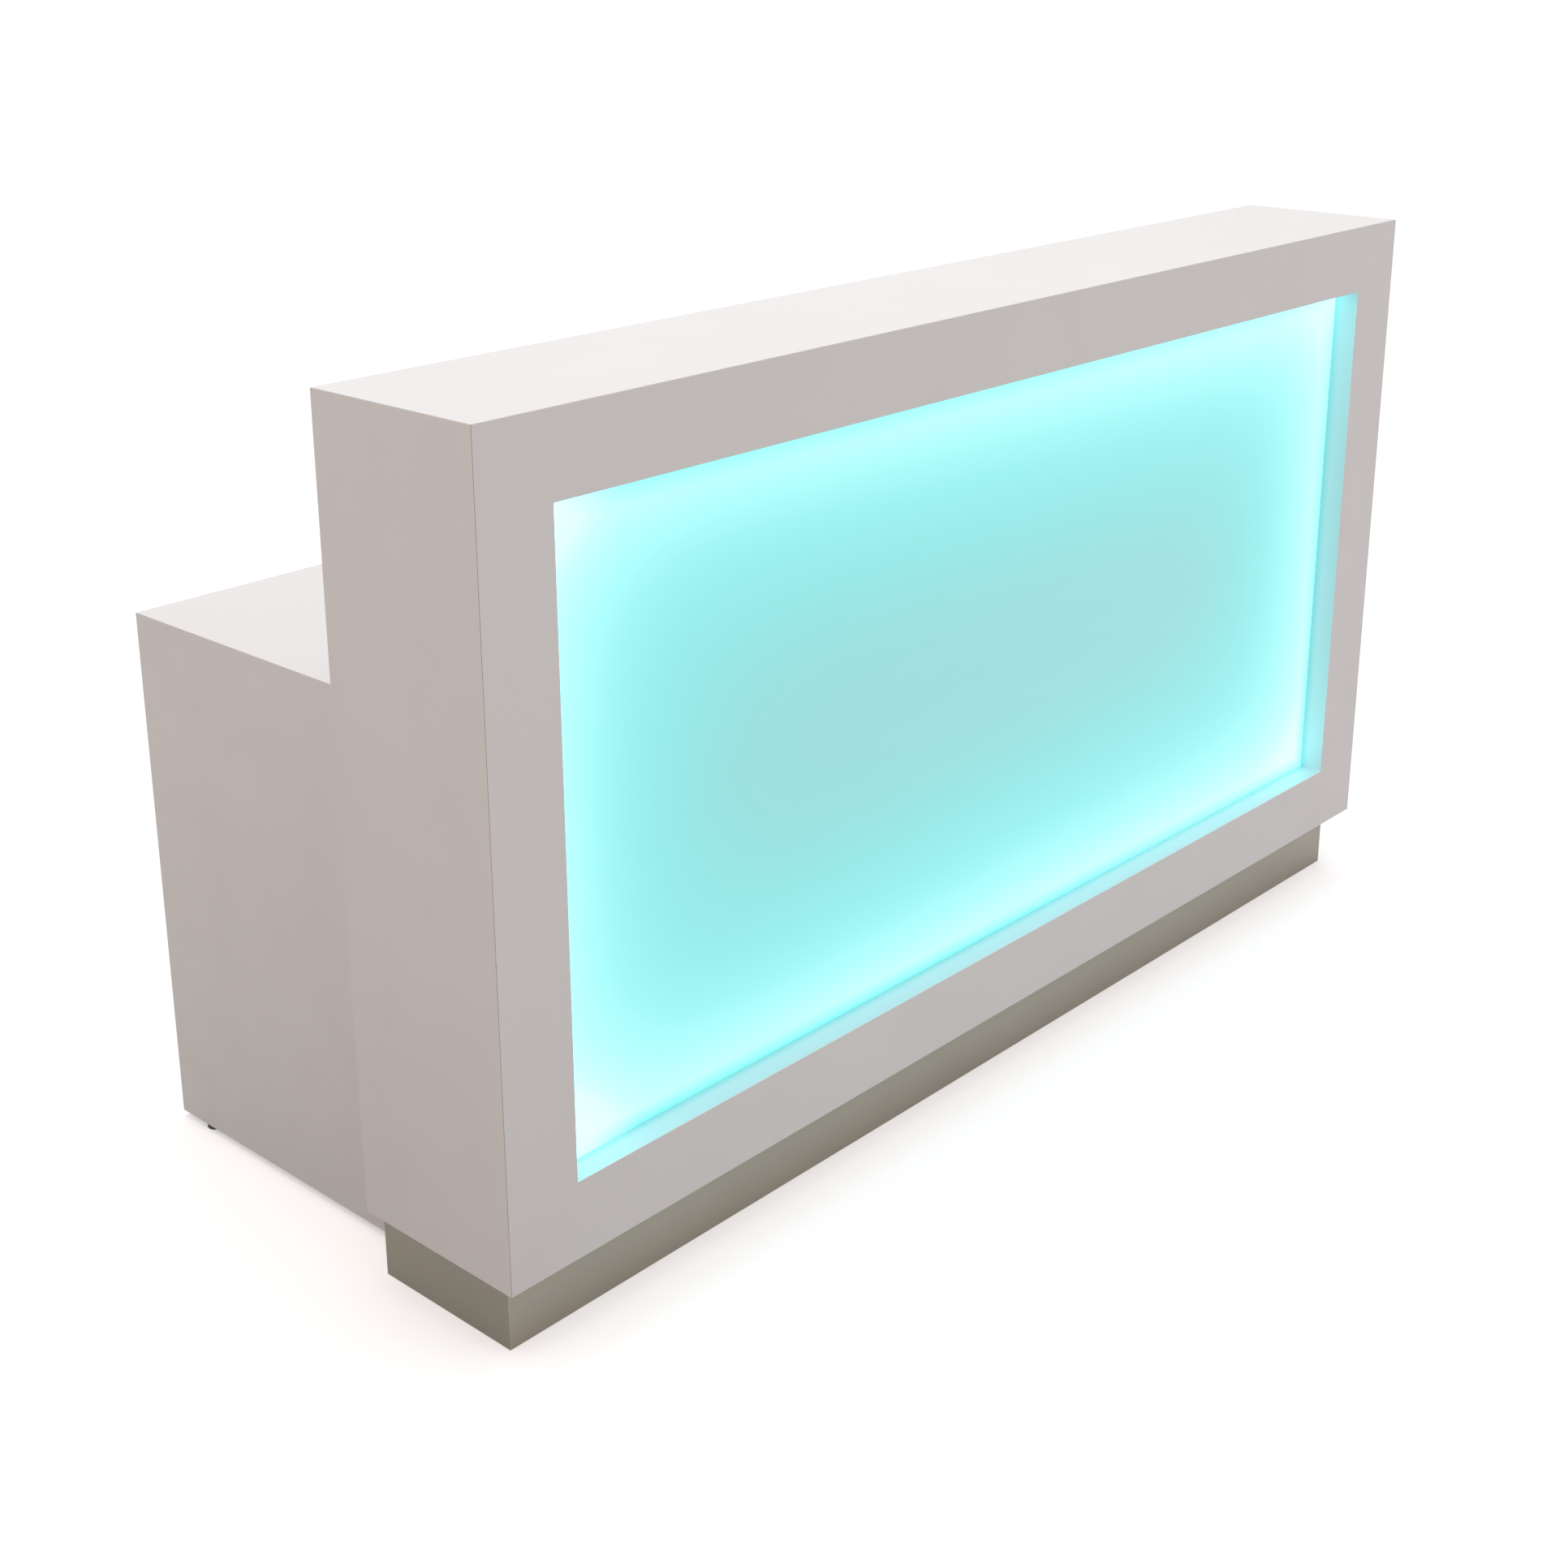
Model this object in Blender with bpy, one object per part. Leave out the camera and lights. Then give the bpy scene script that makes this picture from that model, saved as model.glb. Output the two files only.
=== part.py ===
"""Reception desk: a tall counter box with a lit front on a steel-clad plinth, and a staff desk behind it.

Metres, +Z up. Visitors stand on the -Y side and staff sit on the +Y side. Left is -X.
The origin is on the floor, at the middle of the desk's width and depth.
"""

import math

import bmesh
import bpy
from mathutils import Matrix, Vector

# Overall sizes
WIDTH = 1.829
HEIGHT = 1.067
COUNTER_DEPTH = 0.253
DESK_DEPTH = 0.488
DESK_HEIGHT = 0.703

# Boards
CARCASS_BOARD = 0.019
FASCIA_THICKNESS = 0.037
BACK_BOARD = 0.018
DESK_BOARD = 0.025
DRAWER_BOARD = 0.019
FRONT_BOARD = 0.018

# Joints between pieces
SEAM = 0.0003
DOOR_GAP = 0.003
RUNNING_GAP = 0.0005
BOARD_ARRIS = 0.0006
MITRE_ARRIS = 0.0004

# Window in the fascia and the light box behind it
STILE_WIDTH = 0.102
RAIL_HEIGHT = 0.0975
DIFFUSER_THICKNESS = 0.006
DIFFUSER_LAP = 0.020
LIGHTBOX_WALL = 0.012
LIGHTBOX_DEPTH = 0.080
REFLECTOR_THICKNESS = 0.006
STRIP_WIDTH = 0.010
STRIP_THICKNESS = 0.003
STRIP_SETBACK = 0.030

# Plinth
PLINTH_HEIGHT = 0.096
PLINTH_SETBACK_FRONT = 0.034
PLINTH_SETBACK_SIDE = 0.023
KICK_PLATE = 0.0012
PLINTH_RAIL = 0.018

# Gables, ledger and levelling feet of the staff desk
GABLE_INSET = 0.068
LEDGER_HEIGHT = 0.045
LEDGER_THICKNESS = 0.019
LEDGER_LANDING = 0.010
FOOT_HEIGHT = 0.008
FOOT_RADIUS = 0.011
FOOT_CHAMFER = 0.002
STEM_RADIUS = 0.004
STEM_LENGTH = 0.030
FOOT_FROM_EDGE = 0.055

# Cable grommets
GROMMET_FROM_KNEE_END = 0.232
GROMMET_FROM_BACK = 0.090
GROMMET_RADIUS = 0.030
GROMMET_WALL = 0.0035
GROMMET_FLANGE_RADIUS = 0.036
GROMMET_FLANGE = 0.0025
GROMMET_LEDGE = 0.0030
CAP_THICKNESS = 0.0035
CABLE_NOTCH_WIDTH = 0.016
CABLE_NOTCH_DEPTH = 0.014

# Service hatch and its hinge
HATCH_WIDTH = 0.500
HINGE_LEAF_WIDTH = 0.024
HINGE_LEAF = 0.0012
KNUCKLE_RADIUS = 0.0035
HINGE_PIN_RADIUS = 0.0020
HINGE_KNUCKLES = 5
HINGE_END_SPACE = 0.020
KNOB_RADIUS = 0.011
KNOB_LENGTH = 0.022
KNOB_FROM_EDGE = 0.045
KNOB_FROM_TOP = 0.125
KNOB_PROFILE = ((0.5, 0.0), (0.5, 0.4), (0.9, 0.55), (1.0, 0.7), (1.0, 0.9), (0.85, 1.0))
CATCH_LENGTH = 0.040
CATCH_DEPTH = 0.012
CATCH_REACH = 0.012

# Power inlet, rocker, driver and leads
INLET_FLANGE_SIZE = (0.060, 0.036)
INLET_BODY_SIZE = (0.050, 0.028)
INLET_FLANGE = 0.0025
INLET_DEPTH = 0.030
INLET_BELOW_LEDGER = 0.065
SOCKET_SIZE = (0.024, 0.017)
SOCKET_OFFSET = 0.0125
SOCKET_DEPTH = 0.016
PIN_SIZE = (0.002, 0.004)
PIN_SPACING = 0.007
PIN_LENGTH = 0.014
ROCKER_OFFSET = 0.0150
ROCKER_WIDTH = 0.0125
ROCKER_HALF_HEIGHT = 0.0090
ROCKER_FOOT_HALF_HEIGHT = 0.0063
ROCKER_DEPTH = 0.006
ROCKER_RISE = 0.0045
ROCKER_DISH = 0.0020
ROCKER_TILT = math.radians(10)
ROCKER_WELL_HALF_HEIGHT = 0.0105
ROCKER_WELL_DEPTH = 0.012
DRIVER_LENGTH = 0.180
DRIVER_DEPTH = 0.050
DRIVER_HEIGHT = 0.030
DRIVER_TAB = 0.012
DRIVER_TAB_THICKNESS = 0.003
MAINS_LEAD_RADIUS = 0.0035
MAINS_LEAD_BEND = 0.028
LED_LEAD_RADIUS = 0.0020
LED_LEAD_HOLE_RADIUS = 0.0040

# Drawer bank
BAY_WIDTH = 0.400
BANK_CLEARANCE = 0.121
FRONT_SETBACK = 0.036
BOX_FRONT_HEIGHT = 0.179
TRAY_BOTTOM_SPACE = 0.014
TRAY_TOP_SPACE = 0.055
TRAY_BACK_SPACE = 0.034
TRAY_WALL = 0.012
TRAY_FLOOR = 0.008
RUNNER_SPACE = 0.0127
RUNNER_HEIGHT = 0.045
RUNNER_METAL = 0.0015
RUNNER_FLANGE = 0.0095
RUNNER_ABOVE_TRAY_BOTTOM = 0.002
PULL_LENGTH = 0.160
PULL_REACH = 0.028
PULL_BAR = 0.006
PULL_HEIGHT = 0.010
PULL_ROUNDING = 0.0015
PULL_ROUNDING_STEPS = 3
PULL_FROM_TOP = 0.060

# Facets of round pieces
ROUND_SIDES = 32
SMALL_ROUND_SIDES = 20
NOTCH_STEPS = 10
LEAD_STEPS = 5
LEAD_ROUND_STEPS = 2
SHARP_ANGLE = math.radians(35)

# Places worked out from the sizes above
HALF_WIDTH = WIDTH / 2
FRONT_Y = -(COUNTER_DEPTH + DESK_DEPTH) / 2
BACK_Y = FRONT_Y + COUNTER_DEPTH
REAR_Y = BACK_Y + DESK_DEPTH
MITRE_SHIFT = SEAM / math.sqrt(2)

COUNTER_FLOOR_Z = PLINTH_HEIGHT + CARCASS_BOARD
WINDOW_X = HALF_WIDTH - STILE_WIDTH
WINDOW_LOW_Z = PLINTH_HEIGHT + RAIL_HEIGHT
WINDOW_HIGH_Z = HEIGHT - RAIL_HEIGHT
FASCIA_BACK_Y = FRONT_Y + FASCIA_THICKNESS
DIFFUSER_BACK_Y = FASCIA_BACK_Y + SEAM + DIFFUSER_THICKNESS
LIGHTBOX_BACK_Y = DIFFUSER_BACK_Y + SEAM + LIGHTBOX_DEPTH
REFLECTOR_BACK_Y = LIGHTBOX_BACK_Y + SEAM + REFLECTOR_THICKNESS
BACK_PANEL_Y = BACK_Y - BACK_BOARD
CAVITY_Y = (REFLECTOR_BACK_Y + BACK_PANEL_Y) / 2

DESK_UNDERSIDE_Z = DESK_HEIGHT - DESK_BOARD
LEDGER_LOW_Z = DESK_UNDERSIDE_Z - SEAM - LEDGER_HEIGHT
BACK_SPLIT_Z = LEDGER_LOW_Z - LEDGER_LANDING
GABLE_X = HALF_WIDTH - GABLE_INSET
GABLE_INNER_X = GABLE_X - DESK_BOARD

BAY_RIGHT_X = GABLE_INNER_X
BAY_LEFT_X = BAY_RIGHT_X - BAY_WIDTH
PARTITION_LEFT_X = BAY_LEFT_X - DRAWER_BOARD
BANK_FRONT_Y = BACK_Y + SEAM + LEDGER_THICKNESS + SEAM
BANK_REAR_Y = REAR_Y - FRONT_SETBACK
BANK_FLOOR_Z = BANK_CLEARANCE + DRAWER_BOARD
DRAWER_FRONT_Y = BANK_REAR_Y - FRONT_BOARD

KNEE_X = (PARTITION_LEFT_X - GABLE_INNER_X) / 2
HATCH_LEFT_X = KNEE_X - HATCH_WIDTH / 2
HATCH_RIGHT_X = KNEE_X + HATCH_WIDTH / 2
INLET_X = (HATCH_RIGHT_X + PARTITION_LEFT_X) / 2
INLET_Z = BACK_SPLIT_Z - INLET_BELOW_LEDGER
INLET_FACE_Y = BACK_Y + SEAM + INLET_FLANGE


def make_finish(name, colour, roughness, metallic=0.0):
    """A plain surface finish."""
    look = bpy.data.materials.new(name)
    look.use_nodes = True
    shader = look.node_tree.nodes["Principled BSDF"]
    shader.inputs["Base Color"].default_value = (*colour, 1.0)
    shader.inputs["Roughness"].default_value = roughness
    shader.inputs["Metallic"].default_value = metallic
    return look


def skin(loops, closed=False):
    """Joins loops of equal length in a row; the two ends are capped, or meet each other."""
    shape = bmesh.new()
    rings = [[shape.verts.new(point) for point in loop] for loop in loops]
    pairs = list(zip(rings, rings[1:]))
    if closed:
        pairs.append((rings[-1], rings[0]))
    else:
        shape.faces.new(rings[0])
        shape.faces.new(rings[-1])
    for ring, following in pairs:
        for index in range(len(ring)):
            after = (index + 1) % len(ring)
            shape.faces.new((ring[index], ring[after], following[after], following[index]))
    bmesh.ops.recalc_face_normals(shape, faces=shape.faces)
    return shape


def rectangle(axis, at, low, high):
    """Corners of a rectangle square to an axis (0 is X, 1 is Y, 2 is Z), from two opposite corners."""
    corners = []
    for u, v in ((low[0], low[1]), (high[0], low[1]), (high[0], high[1]), (low[0], high[1])):
        point = [u, v]
        point.insert(axis, at)
        corners.append(point)
    return corners


def turned(profile, sides=ROUND_SIDES, closed=False):
    """A round shape about Z from a profile of radius and height pairs."""
    loops = []
    for radius, height in profile:
        angles = [2 * math.pi * side / sides for side in range(sides)]
        loops.append([(radius * math.cos(a), radius * math.sin(a), height) for a in angles])
    return skin(loops, closed)


def extruded(outline, axis, start, end):
    """A prism along an axis from an outline given on the other two axes."""
    loops = []
    for at in (start, end):
        loop = []
        for u, v in outline:
            point = [u, v]
            point.insert(axis, at)
            loop.append(point)
        loops.append(loop)
    return skin(loops)


def add_piece(name, shape, look, at=(0.0, 0.0, 0.0), carrier=None, smooth=False):
    """Names a shape and puts it in place; a carried piece is parented to its carrier."""
    mesh = bpy.data.meshes.new(name)
    shape.to_mesh(mesh)
    shape.free()
    if look:
        mesh.materials.append(look)
    if smooth:
        mesh.shade_smooth()
        mesh.set_sharp_from_angle(angle=SHARP_ANGLE)
    piece = bpy.data.objects.new(name, mesh)
    bpy.context.scene.collection.objects.link(piece)
    piece.location = at
    if carrier:
        piece.parent = carrier
        piece.matrix_parent_inverse = Matrix.Translation(-carrier.location)
    return piece


def ease_edges(piece, width, segments=1):
    """Takes the sharpness off every edge, as a maker does with a file or a trimmer."""
    arris = piece.modifiers.new("arris", "BEVEL")
    arris.width = width
    arris.segments = segments
    arris.limit_method = "ANGLE"


def box_shape(low, high):
    """A box about its own centre, and the place of that centre."""
    low, high = Vector(low), Vector(high)
    shape = bmesh.new()
    bmesh.ops.create_cube(shape, size=1.0)
    bmesh.ops.scale(shape, vec=high - low, verts=shape.verts)
    return shape, (low + high) / 2


def add_board(name, low, high, look, carrier=None):
    """A square-cut board with eased edges."""
    shape, centre = box_shape(low, high)
    board = add_piece(name, shape, look, centre, carrier)
    ease_edges(board, BOARD_ARRIS)
    return board


def add_mitred_board(name, outer, inner, look):
    """A board whose outer face is larger than its inner face, with mitred edges between them."""
    board = add_piece(name, skin([outer, inner]), look)
    ease_edges(board, MITRE_ARRIS)
    return board


def add_cutter(name, shape, at=(0.0, 0.0, 0.0)):
    """A shape that only cuts or joins other pieces."""
    cutter = add_piece(name, shape, None, at)
    cutter.hide_render = True
    cutter.display_type = "WIRE"
    return cutter


def combine(piece, tool, operation):
    """Cuts a tool out of a piece, or joins it on."""
    step = piece.modifiers.new(tool.name, "BOOLEAN")
    step.object = tool
    step.operation = operation


def add_carrier(name, at):
    """An empty that carries a moving group; it sits on the joint's axis."""
    carrier = bpy.data.objects.new(name, None)
    bpy.context.scene.collection.objects.link(carrier)
    carrier.location = at
    return carrier


def side_span(side, near, far):
    """Lowest and highest X of a stretch from near to far, measured from the middle towards a side."""
    return sorted((side * near, side * far))


def quarter_turn(corner, arrives_from, leaves_to, radius):
    """Start, middle and end of a round bend that takes the place of a square corner."""
    corner, arrives_from, leaves_to = Vector(corner), Vector(arrives_from), Vector(leaves_to)
    middle = (arrives_from + leaves_to) * radius * (1 - 1 / math.sqrt(2))
    return corner + arrives_from * radius, corner + middle, corner + leaves_to * radius


def smooth_route(points, steps):
    """Points along a smooth curve that passes through the given ones (centripetal, so it never loops)."""
    knots = [2 * Vector(points[0]) - Vector(points[1])]
    knots += [Vector(point) for point in points]
    knots.append(2 * Vector(points[-1]) - Vector(points[-2]))
    line = []
    for a, b, c, d in zip(knots, knots[1:], knots[2:], knots[3:]):
        at_b = math.sqrt((b - a).length)
        at_c = at_b + math.sqrt((c - b).length)
        at_d = at_c + math.sqrt((d - c).length)
        for step in range(steps):
            t = at_b + (at_c - at_b) * step / steps
            ab = a.lerp(b, t / at_b)
            bc = b.lerp(c, (t - at_b) / (at_c - at_b))
            cd = c.lerp(d, (t - at_c) / (at_d - at_c))
            abc = ab.lerp(bc, t / at_c)
            bcd = bc.lerp(cd, (t - at_b) / (at_d - at_b))
            line.append(abc.lerp(bcd, (t - at_b) / (at_c - at_b)))
    line.append(knots[-2])
    return line


def add_lead(name, points, radius, look):
    """A round lead along a smooth route, with closed ends."""
    curve = bpy.data.curves.new(name, "CURVE")
    curve.dimensions = "3D"
    curve.bevel_depth = radius
    curve.bevel_resolution = LEAD_ROUND_STEPS
    curve.use_fill_caps = True
    line = smooth_route(points, LEAD_STEPS)
    spline = curve.splines.new("POLY")
    spline.points.add(len(line) - 1)
    for point, place in zip(spline.points, line):
        point.co = (*place, 1.0)
    curve.materials.append(look)
    lead = bpy.data.objects.new(name, curve)
    bpy.context.scene.collection.objects.link(lead)


def build_counter(white):
    """The mitred box of the counter, and its fascia with the window."""
    inner_x = HALF_WIDTH - CARCASS_BOARD - MITRE_SHIFT
    inner_front_y = FRONT_Y + CARCASS_BOARD + MITRE_SHIFT
    outer_x = HALF_WIDTH - MITRE_SHIFT
    outer_front_y = FRONT_Y + MITRE_SHIFT
    inner_low_z = COUNTER_FLOOR_Z + MITRE_SHIFT
    inner_high_z = HEIGHT - CARCASS_BOARD - MITRE_SHIFT
    outer_low_z = PLINTH_HEIGHT + MITRE_SHIFT
    outer_high_z = HEIGHT - MITRE_SHIFT
    for name, outer_z, inner_z in (
        ("counter_top", HEIGHT, HEIGHT - CARCASS_BOARD),
        ("counter_bottom", PLINTH_HEIGHT, COUNTER_FLOOR_Z),
    ):
        outer = rectangle(2, outer_z, (-outer_x, outer_front_y), (outer_x, BACK_Y))
        inner = rectangle(2, inner_z, (-inner_x, inner_front_y), (inner_x, BACK_Y))
        add_mitred_board(name, outer, inner, white)
    for name, side in (("counter_end_left", -1), ("counter_end_right", 1)):
        outer_at = side * HALF_WIDTH
        inner_at = side * (HALF_WIDTH - CARCASS_BOARD)
        outer = rectangle(0, outer_at, (outer_front_y, outer_low_z), (BACK_Y, outer_high_z))
        inner = rectangle(0, inner_at, (inner_front_y, inner_low_z), (BACK_Y, inner_high_z))
        add_mitred_board(name, outer, inner, white)
    window_low, window_high = (-WINDOW_X, WINDOW_LOW_Z), (WINDOW_X, WINDOW_HIGH_Z)
    rim_low, rim_high = (-inner_x, inner_low_z), (inner_x, inner_high_z)
    loops = [
        rectangle(1, FRONT_Y, (-outer_x, outer_low_z), (outer_x, outer_high_z)),
        rectangle(1, FRONT_Y + CARCASS_BOARD, rim_low, rim_high),
        rectangle(1, FASCIA_BACK_Y, rim_low, rim_high),
        rectangle(1, FASCIA_BACK_Y, window_low, window_high),
        rectangle(1, FRONT_Y, window_low, window_high),
    ]
    fascia = add_piece("front_fascia", skin(loops, closed=True), white)
    ease_edges(fascia, MITRE_ARRIS)


def build_light_box(acrylic, white, strip_look):
    """Diffuser, the four walls that press it on the fascia, the reflector and the strip of lights."""
    outer_x = WINDOW_X + DIFFUSER_LAP
    outer_low_z = WINDOW_LOW_Z - DIFFUSER_LAP
    outer_high_z = WINDOW_HIGH_Z + DIFFUSER_LAP
    inner_x = outer_x - LIGHTBOX_WALL
    inner_low_z = outer_low_z + LIGHTBOX_WALL
    inner_high_z = outer_high_z - LIGHTBOX_WALL
    wall_front_y = DIFFUSER_BACK_Y + SEAM
    add_board(
        "diffuser_panel",
        (-outer_x, FASCIA_BACK_Y + SEAM, outer_low_z),
        (outer_x, DIFFUSER_BACK_Y, outer_high_z),
        acrylic,
    )
    for name, low_z, high_z in (
        ("lightbox_wall_bottom", outer_low_z, inner_low_z),
        ("lightbox_wall_top", inner_high_z, outer_high_z),
    ):
        low = (-outer_x, wall_front_y, low_z)
        add_board(name, low, (outer_x, LIGHTBOX_BACK_Y, high_z), white)
    for name, side in (("lightbox_wall_left", -1), ("lightbox_wall_right", 1)):
        low_x, high_x = side_span(side, inner_x, outer_x)
        low = (low_x, wall_front_y, inner_low_z + SEAM)
        add_board(name, low, (high_x, LIGHTBOX_BACK_Y, inner_high_z - SEAM), white)
    reflector = add_board(
        "reflector_panel",
        (-outer_x, LIGHTBOX_BACK_Y + SEAM, outer_low_z),
        (outer_x, REFLECTOR_BACK_Y, outer_high_z),
        white,
    )
    strip_front_y = DIFFUSER_BACK_Y + STRIP_SETBACK
    strip_back_y = strip_front_y + STRIP_WIDTH
    loops = []
    for at, inset in (
        (strip_front_y, SEAM),
        (strip_back_y, SEAM),
        (strip_back_y, SEAM + STRIP_THICKNESS),
        (strip_front_y, SEAM + STRIP_THICKNESS),
    ):
        low = (inset - inner_x, inner_low_z + inset)
        loops.append(rectangle(1, at, low, (inner_x - inset, inner_high_z - inset)))
    add_piece("led_strip", skin(loops, closed=True), strip_look)
    return reflector, strip_back_y, inner_low_z


def build_plinth(ply, steel):
    """Rails that carry the counter, and the brushed plates that clad them."""
    plate_x = HALF_WIDTH - PLINTH_SETBACK_SIDE
    plate_y = FRONT_Y + PLINTH_SETBACK_FRONT
    rail_x = plate_x - KICK_PLATE - SEAM
    rail_y = plate_y + KICK_PLATE + SEAM
    top_z = PLINTH_HEIGHT - SEAM
    add_board("kick_plate_front", (-plate_x, plate_y, 0), (plate_x, plate_y + KICK_PLATE, top_z), steel)
    add_board("plinth_rail_front", (-rail_x, rail_y, 0), (rail_x, rail_y + PLINTH_RAIL, top_z), ply)
    add_board("plinth_rail_back", (-rail_x, BACK_Y - PLINTH_RAIL, 0), (rail_x, BACK_Y, top_z), ply)
    for side, word in ((-1, "left"), (1, "right")):
        low_x, high_x = side_span(side, plate_x - KICK_PLATE, plate_x)
        low = (low_x, plate_y + KICK_PLATE + SEAM, 0)
        add_board(f"kick_plate_{word}", low, (high_x, BACK_Y, top_z), steel)
        low_x, high_x = side_span(side, rail_x - PLINTH_RAIL, rail_x)
        low = (low_x, rail_y + PLINTH_RAIL + SEAM, 0)
        add_board(f"plinth_rail_{word}", low, (high_x, BACK_Y - PLINTH_RAIL - SEAM, top_z), ply)


def build_counter_back(white):
    """Fixed panels that close the counter on the staff side."""
    panel_x = HALF_WIDTH - CARCASS_BOARD - SEAM
    floor_z = COUNTER_FLOOR_Z + SEAM
    ceiling_z = HEIGHT - CARCASS_BOARD - SEAM
    low_panel_top_z = BACK_SPLIT_Z - SEAM
    low = (-panel_x, BACK_PANEL_Y, BACK_SPLIT_Z)
    add_board("back_panel_upper", low, (panel_x, BACK_Y, ceiling_z), white)
    low = (-panel_x, BACK_PANEL_Y, floor_z)
    add_board("back_panel_left", low, (HATCH_LEFT_X, BACK_Y, low_panel_top_z), white)
    low = (HATCH_RIGHT_X, BACK_PANEL_Y, floor_z)
    return add_board("back_panel_right", low, (panel_x, BACK_Y, low_panel_top_z), white)


def hinge_leaf_outline(axis_x, side, low_z, knuckle, own):
    """Comb edge of a hinge leaf: it reaches its own knuckles and stays clear of the other leaf's."""
    chord = math.sqrt(KNUCKLE_RADIUS**2 - (KNUCKLE_RADIUS - HINGE_LEAF) ** 2)
    near = axis_x + side * (chord / 2)
    clear = axis_x + side * (chord + RUNNING_GAP)
    far = axis_x + side * HINGE_LEAF_WIDTH
    outline = [(far, low_z), (far, low_z + HINGE_KNUCKLES * knuckle)]
    for index in reversed(range(HINGE_KNUCKLES)):
        edge = near if index in own else clear
        inset = RUNNING_GAP / 2 if index in own else -RUNNING_GAP / 2
        top = inset if index < HINGE_KNUCKLES - 1 else 0
        bottom = inset if index > 0 else 0
        outline.append((edge, low_z + (index + 1) * knuckle - top))
        outline.append((edge, low_z + index * knuckle + bottom))
    return outline


def build_hatch(white, steel, magnet):
    """Service hatch on its long hinge, with a knob and the catch that holds it shut."""
    low_z = COUNTER_FLOOR_Z + DOOR_GAP
    high_z = BACK_SPLIT_Z - DOOR_GAP
    axis_x = HATCH_LEFT_X + DOOR_GAP / 2
    axis_y = BACK_Y + SEAM + KNUCKLE_RADIUS
    carrier = add_carrier("hatch_axis", (axis_x, axis_y, 0))
    door_right_x = HATCH_RIGHT_X - DOOR_GAP
    low = (HATCH_LEFT_X + DOOR_GAP, BACK_PANEL_Y, low_z)
    add_board("service_hatch", low, (door_right_x, BACK_Y, high_z), white, carrier)

    hinge_low_z = low_z + HINGE_END_SPACE
    knuckle = (high_z - HINGE_END_SPACE - hinge_low_z) / HINGE_KNUCKLES
    fixed_knuckles = range(0, HINGE_KNUCKLES, 2)
    moving_knuckles = range(1, HINGE_KNUCKLES, 2)
    leaf_y = (BACK_Y + SEAM, BACK_Y + SEAM + HINGE_LEAF)

    outline = hinge_leaf_outline(axis_x, -1, hinge_low_z, knuckle, fixed_knuckles)
    leaf_outline = extruded(outline, 1, *leaf_y)
    fixed_leaf = add_piece("hatch_hinge_fixed_leaf", leaf_outline, steel)
    profile = []
    for index in range(HINGE_KNUCKLES):
        own = index in fixed_knuckles
        radius = KNUCKLE_RADIUS if own else HINGE_PIN_RADIUS
        end_gap = RUNNING_GAP / 2 if own else -RUNNING_GAP / 2
        start = index * knuckle + (end_gap if index > 0 else 0)
        stop = (index + 1) * knuckle - (end_gap if index < HINGE_KNUCKLES - 1 else 0)
        profile += [(radius, start), (radius, stop)]
    pin_shape = turned(profile, SMALL_ROUND_SIDES)
    pin = add_cutter("hinge_pin_and_knuckles", pin_shape, (axis_x, axis_y, hinge_low_z))
    combine(fixed_leaf, pin, "UNION")

    outline = hinge_leaf_outline(axis_x, 1, hinge_low_z, knuckle, moving_knuckles)
    leaf_outline = extruded(outline, 1, *leaf_y)
    moving_leaf = add_piece("hatch_hinge_moving_leaf", leaf_outline, steel, carrier=carrier)
    bore = HINGE_PIN_RADIUS + RUNNING_GAP
    half_length = (knuckle - RUNNING_GAP) / 2
    for index in moving_knuckles:
        profile = [
            (bore, -half_length),
            (KNUCKLE_RADIUS, -half_length),
            (KNUCKLE_RADIUS, half_length),
            (bore, half_length),
        ]
        at = (axis_x, axis_y, hinge_low_z + (index + 0.5) * knuckle)
        sleeve = turned(profile, SMALL_ROUND_SIDES, closed=True)
        combine(moving_leaf, add_cutter(f"hinge_knuckle_{index}", sleeve, at), "UNION")

    profile = [(KNOB_RADIUS * width, KNOB_LENGTH * along) for width, along in KNOB_PROFILE]
    knob_at = (door_right_x - KNOB_FROM_EDGE, BACK_Y + SEAM, high_z - KNOB_FROM_TOP)
    knob = add_piece("hatch_knob", turned(profile), steel, knob_at, carrier, smooth=True)
    knob.rotation_euler = (-math.pi / 2, 0, 0)

    catch_left_x = door_right_x - CATCH_REACH
    catch_back_y = BACK_PANEL_Y - SEAM
    catch_low_z = (low_z + high_z - CATCH_LENGTH) / 2
    low = (catch_left_x, catch_back_y - CATCH_DEPTH, catch_low_z)
    high = (catch_left_x + CATCH_LENGTH, catch_back_y, catch_low_z + CATCH_LENGTH)
    add_board("hatch_catch", low, high, magnet)


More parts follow.
